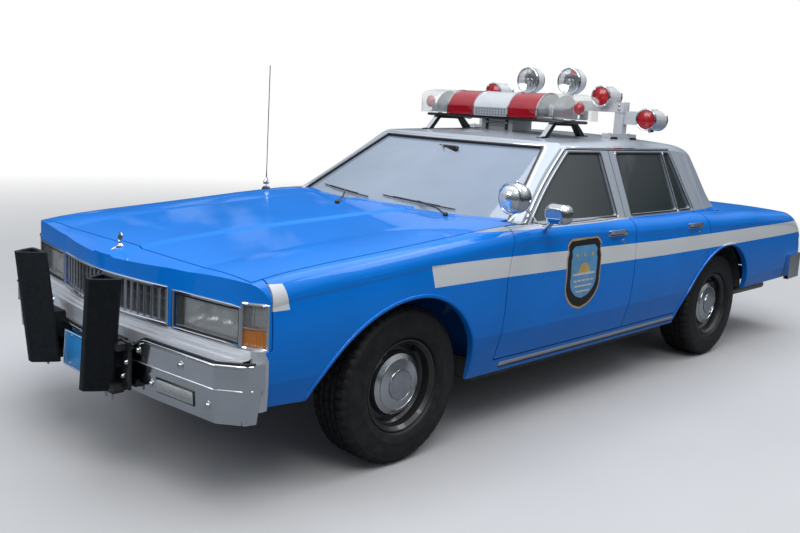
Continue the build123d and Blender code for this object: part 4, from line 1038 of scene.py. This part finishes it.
# Lamps on the roof and round the body
def bowl(radius, depth):
    """A lamp's dished reflector, open towards +Z."""
    curve = [(0.004 + (radius - 0.004) * t**0.5, depth * t) for t in spread(0.0, 1.0, 9)]
    return lathe(curve + [(radius + 0.002, depth), (radius + 0.002, depth - 0.004)], 32)


BULB = lathe([(0.006, 0), (0.007, 0.012), (0.010, 0.022), (0.008, 0.032), (0.0001, 0.036)], 16)


def beacon(piece, y, z, facing, radius):
    """A turning beacon: motor base, upright bulb and a reflector that looks one way."""
    base = [(0.0001, 0), (0.050, 0), (0.050, 0.010), (0.030, 0.014), (0.026, 0.024), (0.0001, 0.024)]
    piece.add(lathe(base, 28), "black", Matrix.Translation((BAR_X, y, TRAY_TOP + 0.007)))
    way = Vector((math.cos(facing), math.sin(facing), 0.0))
    at = aim(Vector((BAR_X, y, z)) - way * 0.040, way)
    piece.add(bowl(radius, 0.044), "reflector", at)
    piece.add(BULB, "grey", at)
    piece.add(tube([(BAR_X, y, TRAY_TOP + 0.02), (BAR_X, y, z - radius * 0.9)], 0.006, 8), "satin")


def bar_section(inset):
    """Outline of the light bar's cover in x and z, drawn in by the inset, from front foot to rear foot."""
    low, wide, high = TRAY_TOP + 0.001 + inset, 0.135 - inset, 0.150 - 2 * inset
    rise = high * 0.65
    radius = (wide**2 + rise**2) / (2 * rise)
    reach = math.asin(wide / radius)
    middle = low + high - radius
    arc = [(BAR_X + radius * math.sin(a), middle + radius * math.cos(a)) for a in spread(reach, -reach, 21)]
    return [(BAR_X + wide, low), *arc, (BAR_X - wide, low)]


def light_bar_detail():
    """Beacons under the covers, forward lamps near the ends, speaker grille, straps and siren clamps."""
    made = Piece("light_bar_works")
    for y, facing, radius in ((0.236, 0.5, 0.046), (-0.236, 0.9, 0.046), (0.395, -0.4, 0.034),
                              (-0.395, 0.3, 0.034)):
        beacon(made, y, 1.577, facing, radius)
    for side in (1, -1):
        lamp_at = aim((BAR_X + 0.020, side * 0.570, 1.577), (1, 0, 0))
        made.add(bowl(0.037, 0.030), "reflector", lamp_at)
        made.add(lathe([(0.036, 0.030), (0.030, 0.036), (0.018, 0.040), (0.0001, 0.042)], 28), "red", lamp_at)
        made.box((0.05, 0.03, 0.055), 0.006, "grey", (BAR_X - 0.005, side * 0.570, 1.540))
        rear_at = aim((BAR_X - 0.030, side * 0.500, 1.577), (-0.3, side * 0.95, 0))
        made.add(bowl(0.032, 0.024), "reflector", rear_at)
        for y, mat in ((0.3405, "chrome"), (0.446, "satin")):
            rows = [[(x, side * (y + t), z) for x, z in bar_section(0.008)] for t in (0.0, 0.0035)]
            made.add(rings(rows, caps=True), mat)
        made.box((0.21, 0.36, 0.006), 0.002, "satin", (BAR_X, side * 0.340, TRAY_TOP + 0.010))
    made.done("body")

    outer = Piece("light_bar_fittings")
    # Rows of dark discs on the speaker's front and back stand for its perforations: their dark is painted shade
    # inside each hole.
    for way in (1, -1):
        for row in range(3):
            for column in range(11):
                at = aim((BAR_X + way * 0.1352, 0.0215 * (column - 5), 1.5155 + 0.0155 * row), (way, 0, 0))
                outer.add(lathe([(0.0050, 0), (0.0050, 0.0004), (0.0001, 0.0004)], 10), "gasket", at)
    for y in (0.1305, 0.3405):
        rows = []
        for across, lift in ((-0.005, -0.001), (-0.004, 0.003), (0.004, 0.003), (0.005, -0.001)):
            rows.append([(x, y + across, z) for x, z in bar_section(-lift)])
        outer.both(rings(rows, closed=False), "chrome")
    edge = [(0.125, 0.490), (0.118, 0.518), (0.085, 0.530), (-0.085, 0.530), (-0.118, 0.518), (-0.125, 0.490)]
    rim = [(BAR_X + x, y, 1.496) for x, y in edge] + [(BAR_X + x, -y, 1.496) for x, y in reversed(edge)]
    outer.add(tube(rim, 0.0085, 8, closed=True), "black")
    for side in (1, -1):
        for x_out, x_in in ((-0.006, -0.096), (-0.424, -0.334)):
            foot = surface(["roof"], (x_out, side * 0.443, 2.0), (0, 0, -1), 0.004)[0]
            way = 1 if x_out > BAR_X else -1
            line = [foot + Vector((way * 0.022, 0, -0.001)), foot, foot + Vector((-way * 0.012, 0, 0.006)),
                    Vector((x_in + way * 0.008, side * 0.443, 1.4825)), Vector((x_in, side * 0.443, 1.490)),
                    Vector((x_in - way * 0.030, side * 0.443, 1.508))]
            profile = [(-0.016, -0.0015), (0.016, -0.0015), (0.016, 0.0015), (-0.016, 0.0015)]
            outer.add(sweep(line, (way * 0.7, 0, 0.7), profile), "chrome")
            outer.bolt(0.006, 0.007, "satin", foot + Vector((way * 0.010, 0, 0.001)), (0, 0, 1))
            outer.box((0.045, 0.046, 0.010), 0.004, "rubber", foot - Vector((0, 0, 0.004)))
    outer.done("body")

    siren = Piece("siren_clamps")
    front = BAR_X + 0.060
    for y in (-0.075, 0.075):
        siren.box((0.006, 0.020, 0.062), 0.002, "black", (front + 0.002, y, 1.456))
        siren.bolt(0.005, 0.006, "satin", (front + 0.005, y, 1.470), (1, 0, 0))
    for z in spread(1.446, 1.474, 4):
        siren.box((0.003, 0.120, 0.003), 0.001, "gasket", (front + 0.001, 0, z), segments=1)
    siren.done("body")


def roof_lamp_detail():
    """Bowls and lenses of the roof lamps, their yokes, end plates and the pads under the rack."""
    made = Piece("roof_lamp_faces")
    face = -0.690
    for side in (1, -1):
        at = aim((face + 0.030, side * 0.160, 1.749), (1, 0, 0))
        rim = [(0.080, -0.004), (0.084, 0.002), (0.084, 0.016), (0.080, 0.020), (0.076, 0.018), (0.076, 0.010)]
        made.add(lathe(rim, 44), "chrome", at)
        made.add(bowl(0.077, 0.012), "mirrored", at)
        made.add(lathe([(0.0001, 0.012), (0.014, 0.012), (0.014, 0.0165), (0.0001, 0.018)], 24), "satin", at)
        made.add(lathe([(0.077, 0.0125), (0.055, 0.0205), (0.028, 0.0245), (0.0001, 0.026)], 40), "lens", at)
        back = aim((face - 0.030, side * 0.160, 1.749), (-1, 0, 0))
        made.add(lathe([(0.079, -0.002), (0.070, 0.022), (0.045, 0.040), (0.0001, 0.046)], 36), "chrome", back)
        for z in (1.672, 1.826):
            made.box((0.020, 0.018, 0.010), 0.002, "black", (face, side * 0.160, z))
        for y, z in ((0.420, 1.662), (0.739, 1.536)):
            for way in (1, -1):
                at = aim((face + way * 0.065, side * y, z), (way, 0, 0))
                rim = [(0.060, -0.004), (0.0655, 0.0), (0.0655, 0.009), (0.060, 0.012), (0.057, 0.010)]
                made.add(lathe(rim, 40), "chrome", at)
                made.add(lathe([(0.058, 0.006), (0.040, 0.013), (0.020, 0.016), (0.0001, 0.017)], 40), "red",
                         at)
                for radius in (0.020, 0.038, 0.050):
                    ring = circle(radius, 36, 0.0165 - radius**2 * 3.0)
                    made.add(tube(ring, 0.0008, 6, closed=True), "red", at)
            made.box((0.030, 0.024, 0.014), 0.003, "black", (face, side * y, z - 0.066))
            made.bolt(0.007, 0.007, "satin", (face + 0.013, side * y, z - 0.066), (1, 0, 0))
        for x in (-0.110, 0.110):
            foot = surface(["roof"], (face + x, side * 0.530, 2.0), (0, 0, -1), 0.003)[0]
            made.box((0.075, 0.074, 0.014), 0.006, "rubber", foot)
            made.bolt(0.007, 0.007, "satin", (face + x, side * 0.530, 1.440), (0, 0, 1))
        for z in (1.588, 1.612):
            made.bolt(0.006, 0.006, "satin", (face + 0.030, side * 0.530, z), (1, 0, 0))
        made.box((0.066, 0.004, 0.066), 0.0015, "white", (face, side * 0.5615, 1.600))
    made.done("body")


def mirror_and_spotlight():
    """Silvered glass in the door mirror, the spotlight's ringed lens and handle stem collar."""
    made = Piece("mirror_glass")
    at = Matrix.Translation((0.6235, 1.040, 1.071))
    corners = [(-0.062, -0.042), (0.062, -0.042), (0.062, 0.042), (-0.062, 0.042)]
    outline = rounded(corners, 0.034, 0.03)
    rows = [[(0.0, y * s, z * s) for y, z in outline] for s in (1.0, 0.6, 0.2)]
    made.add(rings(rows, caps=True), "mirrored", at)
    rim = [(-0.0005, y * 1.02, z * 1.02) for y, z in outline]
    profile = [(-0.003, -0.002), (0.003, -0.002), (0.002, 0.002), (-0.002, 0.002)]
    made.add(sweep(rim, (-1, 0, 0), profile, closed=True), "chrome", at)
    made.done("front_left_door")

    lens = Piece("spotlight_lens")
    centre = Vector((0.854, 0.942, 1.143))
    way = Vector((1.0, -0.10, -0.05)).normalized()
    at = aim(centre, way)
    rim = [(0.0655, 0.026), (0.0735, 0.030), (0.0745, 0.036), (0.0735, 0.042), (0.067, 0.046), (0.062, 0.043)]
    lens.add(lathe(rim, 44), "chrome", at)
    glass = [(0.063, 0.044), (0.050, 0.0595), (0.030, 0.0700), (0.010, 0.0740), (0.0001, 0.0744)]
    lens.add(lathe(glass, 40), "lens", at)
    lens.add(lathe([(0.062, 0.0435), (0.049, 0.0585), (0.029, 0.0690), (0.0001, 0.0733)], 40), "mirrored", at)
    stem = Vector((0.592, 0.843, 1.046)) - centre
    collar = lathe([(0.012, 0), (0.018, 0.004), (0.018, 0.020), (0.011, 0.026)], 20)
    lens.add(collar, "chrome", aim(centre + stem * 0.26, stem))
    lens.bolt(0.008, 0.012, "chrome", centre + Vector((0, 0, 0.070)), (0, 0, 1))
    lens.done("body")


def tail_detail():
    """Frames, ribs and the clear reversing sections of the tail lamps, the lid's lock, the aerial's base."""
    made = Piece("tail_lamp_trim")
    x = -2.8065
    profile = [(-0.0045, -0.003), (0.0045, -0.003), (0.003, 0.004), (-0.003, 0.004)]
    for side in (1, -1):
        rim = [(x, side * y, z) for y, z in ((0.433, 0.637), (0.877, 0.637), (0.877, 0.748), (0.433, 0.748))]
        made.add(sweep(rim, (-1, 0, 0), profile, closed=True), "chrome")
        for y in (0.545, 0.725):
            made.box((0.007, 0.006, 0.104), 0.002, "chrome", (x - 0.0015, side * y, 0.6925))
        for z in spread(0.648, 0.737, 12):
            for long, mat, y in ((0.168, "red", 0.635), (0.140, "red", 0.801), (0.100, "white", 0.489)):
                made.box((0.004, long, 0.0035), 0.0012, mat, (x - 0.001, side * y, z), segments=1)
    made.add(lathe([(0.0001, 0.012), (0.008, 0.012), (0.014, 0.009), (0.016, 0.0)], 24), "chrome",
             aim((-2.8005, 0.0, 0.772), (-1, 0, 0)))
    for y in (0.12, -0.12):
        made.box((0.014, 0.050, 0.014), 0.004, "grey", (-2.806, y, 0.778))
    made.done("body")

    aerial = Piece("aerial_base")
    at = aim(surface(["fender_right"], (0.898, -0.895, 1.5), (0, 0, -1))[0], (0, 0, 1))
    aerial.add(lathe([(0.026, -0.002), (0.026, 0.006), (0.020, 0.011), (0.0165, 0.014)], 28), "gasket", at)
    cap = [(0.0168, 0.030), (0.0175, 0.034), (0.0175, 0.044), (0.010, 0.058), (0.004, 0.080), (0.0028, 0.110)]
    aerial.add(lathe(cap, 24), "chrome", at)
    aerial.done("body")


# The cabin
def settled(made):
    """Keeps what an object's modifiers make of its mesh."""
    graph = bpy.context.evaluated_depsgraph_get()
    mesh = bpy.data.meshes.new_from_object(made.evaluated_get(graph))
    made.modifiers.clear()
    made.data = mesh


def cushion(name, outline, y, replaces, channels, face, cap):
    """A padded block: its side outline carried across, swollen as cloth, then sewn along its channels."""
    count = len(outline)
    verts = [(x, y[0], z) for x, z in outline] + [(x, y[1], z) for x, z in outline]
    faces = [tuple(range(count)), tuple(range(count, 2 * count))[::-1]]
    faces += [(i, i + count, (i + 1) % count + count, (i + 1) % count) for i in range(count)]
    mesh = bpy.data.meshes.new(name)
    mesh.from_pydata(verts, [], faces)
    made = placed(name, mesh)
    remesh = made.modifiers.new("remesh", "REMESH")
    remesh.mode = "VOXEL"
    remesh.voxel_size = 0.013
    soften = made.modifiers.new("soften", "SMOOTH")
    soften.factor = 0.8
    soften.iterations = 9
    settled(made)
    start = [v.co.copy() for v in made.data.vertices]
    cloth = made.modifiers.new("cloth", "CLOTH")
    cloth.settings.quality = 4
    cloth.settings.use_pressure = True
    cloth.settings.uniform_pressure_force = 4
    cloth.settings.effector_weights.gravity = 0
    for step in range(1, 21):
        bpy.context.scene.frame_set(step)
    settled(made)
    bpy.context.scene.frame_set(1)
    for v, rest in zip(made.data.vertices, start):
        move = v.co - rest
        if move.length > cap:
            v.co = rest + move * (cap / move.length)
    subdivide = made.modifiers.new("finer", "SUBSURF")
    subdivide.levels = subdivide.render_levels = 1
    settled(made)
    across = Vector(face).normalized()
    normals = [v.normal.copy() for v in made.data.vertices]
    for v, normal in zip(made.data.vertices, normals):
        if normal.dot(across) < 0.2:
            continue
        sunk = sum(math.exp(-((v.co.y - line) / 0.010) ** 2) for line in channels)
        sunk += math.exp(-((abs(v.co.y - (y[0] + y[1]) / 2) - (y[1] - y[0]) / 2 + 0.055) / 0.009) ** 2)
        v.co -= normal * 0.010 * min(1.0, sunk)
    made.data.materials.clear()
    made.data.materials.append(MATS["cloth"])
    made.data.shade_smooth()
    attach(made, "body")
    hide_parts(replaces)


def seats():
    """Bench seats with full-width cushions and backs."""
    low_front = [(0.255, 0.350), (0.275, 0.545), (0.190, 0.575), (-0.190, 0.540), (-0.300, 0.520),
                 (-0.300, 0.350)]
    back_front = [(-0.235, 0.560), (-0.372, 0.985), (-0.462, 0.985), (-0.345, 0.520), (-0.300, 0.520)]
    low_rear = [(-0.615, 0.370), (-0.590, 0.570), (-0.670, 0.597), (-1.030, 0.570), (-1.030, 0.550),
                (-0.890, 0.365)]
    back_rear = [(-1.060, 0.600), (-1.185, 0.918), (-1.215, 0.918), (-1.222, 0.570), (-1.060, 0.560)]
    lines = spread(-0.49, 0.49, 9)
    cushion("front_seat_cushion", low_front, (-0.625, 0.625), "front_seat", lines, (0, 0, 1), cap=0.014)
    cushion("front_seat_back", back_front, (-0.625, 0.625), "front_seat", lines, (1, 0, 0.3), cap=0.014)
    cushion("rear_seat_cushion", low_rear, (-0.665, 0.665), "rear_seat", lines, (0, 0, 1), cap=0.012)
    cushion("rear_seat_back", back_rear, (-0.540, 0.540), "rear_seat", lines[1:-1], (1, 0, 0.3), cap=0.012)


def cabin_detail():
    """Instrument hood and dials, vents, the radio and the inside mirror."""
    made = Piece("dash_details")
    made.box((0.10, 0.44, 0.022), 0.008, "trim", (0.505, 0.370, 0.944), segments=3)
    made.box((0.012, 0.40, 0.100), 0.004, "black", (0.468, 0.370, 0.868))
    for y, radius in ((0.245, 0.036), (0.370, 0.046), (0.495, 0.036)):
        at = aim((0.461, y, 0.868), (-1, 0, 0.25))
        inner = radius - 0.004
        made.add(lathe([(radius, 0), (radius, 0.006), (inner, 0.007), (inner, 0.003), (0.0001, 0.003)], 32),
                 "satin", at)
        made.box((0.0015, radius * 1.3, 0.001), 0.0004, "amber", (0, radius * 0.3, 0.005), at, segments=1)
    made.box((0.020, 0.200, 0.110), 0.006, "black", (0.462, 0.0, 0.815))
    for z in (0.775, 0.850):
        for y in (-0.075, 0.075):
            made.add(lathe([(0.011, 0), (0.010, 0.014), (0.0001, 0.015)], 16), "satin",
                     aim((0.452, y, z), (-1, 0, 0)))
    for y in (-0.62, -0.20, 0.14, 0.66):
        for z in spread(0.855, 0.885, 5):
            made.box((0.010, 0.100, 0.0025), 0.001, "satin", (0.474, y, z), segments=1)
    made.box((0.006, 0.330, 0.003), 0.001, "satin", (0.462, -0.42, 0.800), segments=1)
    made.done("body")

    mirror = Piece("inside_mirror")
    at = aim((0.300, 0.0, 1.300), (-1, 0.25, -0.12))
    mirror.box((0.240, 0.058, 0.018), 0.008, "black", matrix=at, segments=3)
    mirror.box((0.226, 0.046, 0.003), 0.001, "mirrored", (0, 0, 0.009), at)
    mirror.add(tube([(0.308, 0, 1.302), (0.322, 0, 1.318), (0.330, 0, 1.330)], 0.006, 10), "satin")
    mirror.done("body")


# Stage, light and camera
def build_stage():
    """Paving that fades out round the car, and a studio world that paint and chrome mirror."""
    half = 30.0
    floor = bpy.data.meshes.new("floor_plane")
    floor.from_pydata([(-half, -half, 0), (half, -half, 0), (half, half, 0), (-half, half, 0)], [],
                      [(0, 1, 2, 3)])
    made = placed("floor_plane", floor)
    made.location.z = -0.0005
    paving = worn("studio_floor", (0.50, 0.50, 0.51), 0.62, grain=0.6, vary=0.04, bumpy=0.05, bump_scale=300.0,
                  specular=0.25)
    floor.materials.append(paving)
    tree = paving.node_tree
    lit = tree.nodes["Principled BSDF"].inputs
    _, x, y, _ = axes(tree, "Object")
    put(tree, lit["Alpha"], (x * x + y * y).then("SQRT").ramp(12.0, 4.0))
    seen = Num(tree, tree.nodes.new("ShaderNodeLightPath").outputs["Is Camera Ray"])
    shown = Num(tree, lit["Base Color"].links[0].from_socket)
    put(tree, lit["Base Color"], mix(tree, seen, (0.15, 0.16, 0.175), shown))

    world = bpy.data.worlds.new("studio")
    bpy.context.scene.world = world
    world.use_nodes = True
    tree = world.node_tree
    field, _, _, z = axes(tree, "Generated")
    up = z.ramp(0.22, 0.66)
    leaves = noise(tree, field, 9.0, 5.0).ramp(0.52, 0.60) * (z.ramp(0.03, 0.12) * z.ramp(0.60, 0.30))
    rays = tree.nodes.new("ShaderNodeLightPath").outputs
    camera_ray, glossy, through = (Num(tree, rays[f"Is {kind} Ray"])
                                   for kind in ("Camera", "Glossy", "Transmission"))
    soft = mix(tree, up, (0.30, 0.32, 0.34), (0.56, 0.60, 0.64))
    mirrored = mix(tree, leaves, mix(tree, up, (0.045, 0.055, 0.06), (0.86, 0.90, 0.96)), (0.42, 0.47, 0.52))
    sky = mix(tree, camera_ray.then("MAXIMUM", through), mix(tree, glossy, soft, mirrored), (1.0, 1.0, 1.0))
    put(tree, tree.nodes["Background"].inputs["Color"], sky)


def lamp(name, place, target, size, power, colour=(1, 1, 1)):
    light = bpy.data.lights.new(name, "AREA")
    light.shape = "RECTANGLE"
    light.size, light.size_y = size
    light.energy = power
    light.color = colour
    made = placed(name, light)
    made.location = place
    made.rotation_euler = (Vector(target) - Vector(place)).to_track_quat("-Z", "Y").to_euler()


def camera(place, heading, pitch, roll, lens, shift):
    """A camera that looks along a heading and pitch in degrees, then turns about its own axis."""
    h, p, r = (math.radians(v) for v in (heading, pitch, roll))
    forward = Vector((math.cos(h) * math.cos(p), math.sin(h) * math.cos(p), math.sin(p)))
    level = Vector((math.sin(h), -math.cos(h), 0))
    up = level.cross(forward)
    right = level * math.cos(r) + up * math.sin(r)
    top = up * math.cos(r) - level * math.sin(r)
    data = bpy.data.cameras.new("camera")
    data.lens = lens
    data.sensor_width = 36
    data.shift_x, data.shift_y = shift
    made = placed("camera", data)
    made.matrix_world = Matrix.Translation(place) @ Matrix((right, top, -forward)).transposed().to_4x4()
    bpy.context.scene.camera = made


for build in (
    head_lamps, grille_back, ornament, silver_filler, bumper_trim, push_bar_steel, door_trim, side_trim,
    screen_trim, door_shields, wheels, light_bar_detail, roof_lamp_detail, mirror_and_spotlight, tail_detail,
    seats, cabin_detail, build_stage,
):
    build()
lamp("key", (4.5, 4.5, 8.0), (0.4, 0.2, 0.6), (6.0, 4.0), 330, (1.0, 0.98, 0.95))
lamp("fill", (8.5, -3.0, 5.0), (1.0, 0, 0.6), (5.0, 3.0), 170, (0.93, 0.96, 1.0))
lamp("rear", (-4.5, 3.0, 7.5), (-1.0, 0, 0.8), (5.0, 3.0), 170)
lamp("overhead", (0.0, 0.0, 7.5), (0, 0, 0), (9.0, 5.0), 320, (0.95, 0.97, 1.0))
camera((4.102, 3.371, 1.528), 224.35, -8.59, 3.28, 39.44, (0.003, -0.034))
bpy.context.scene.view_settings.view_transform = "Standard"
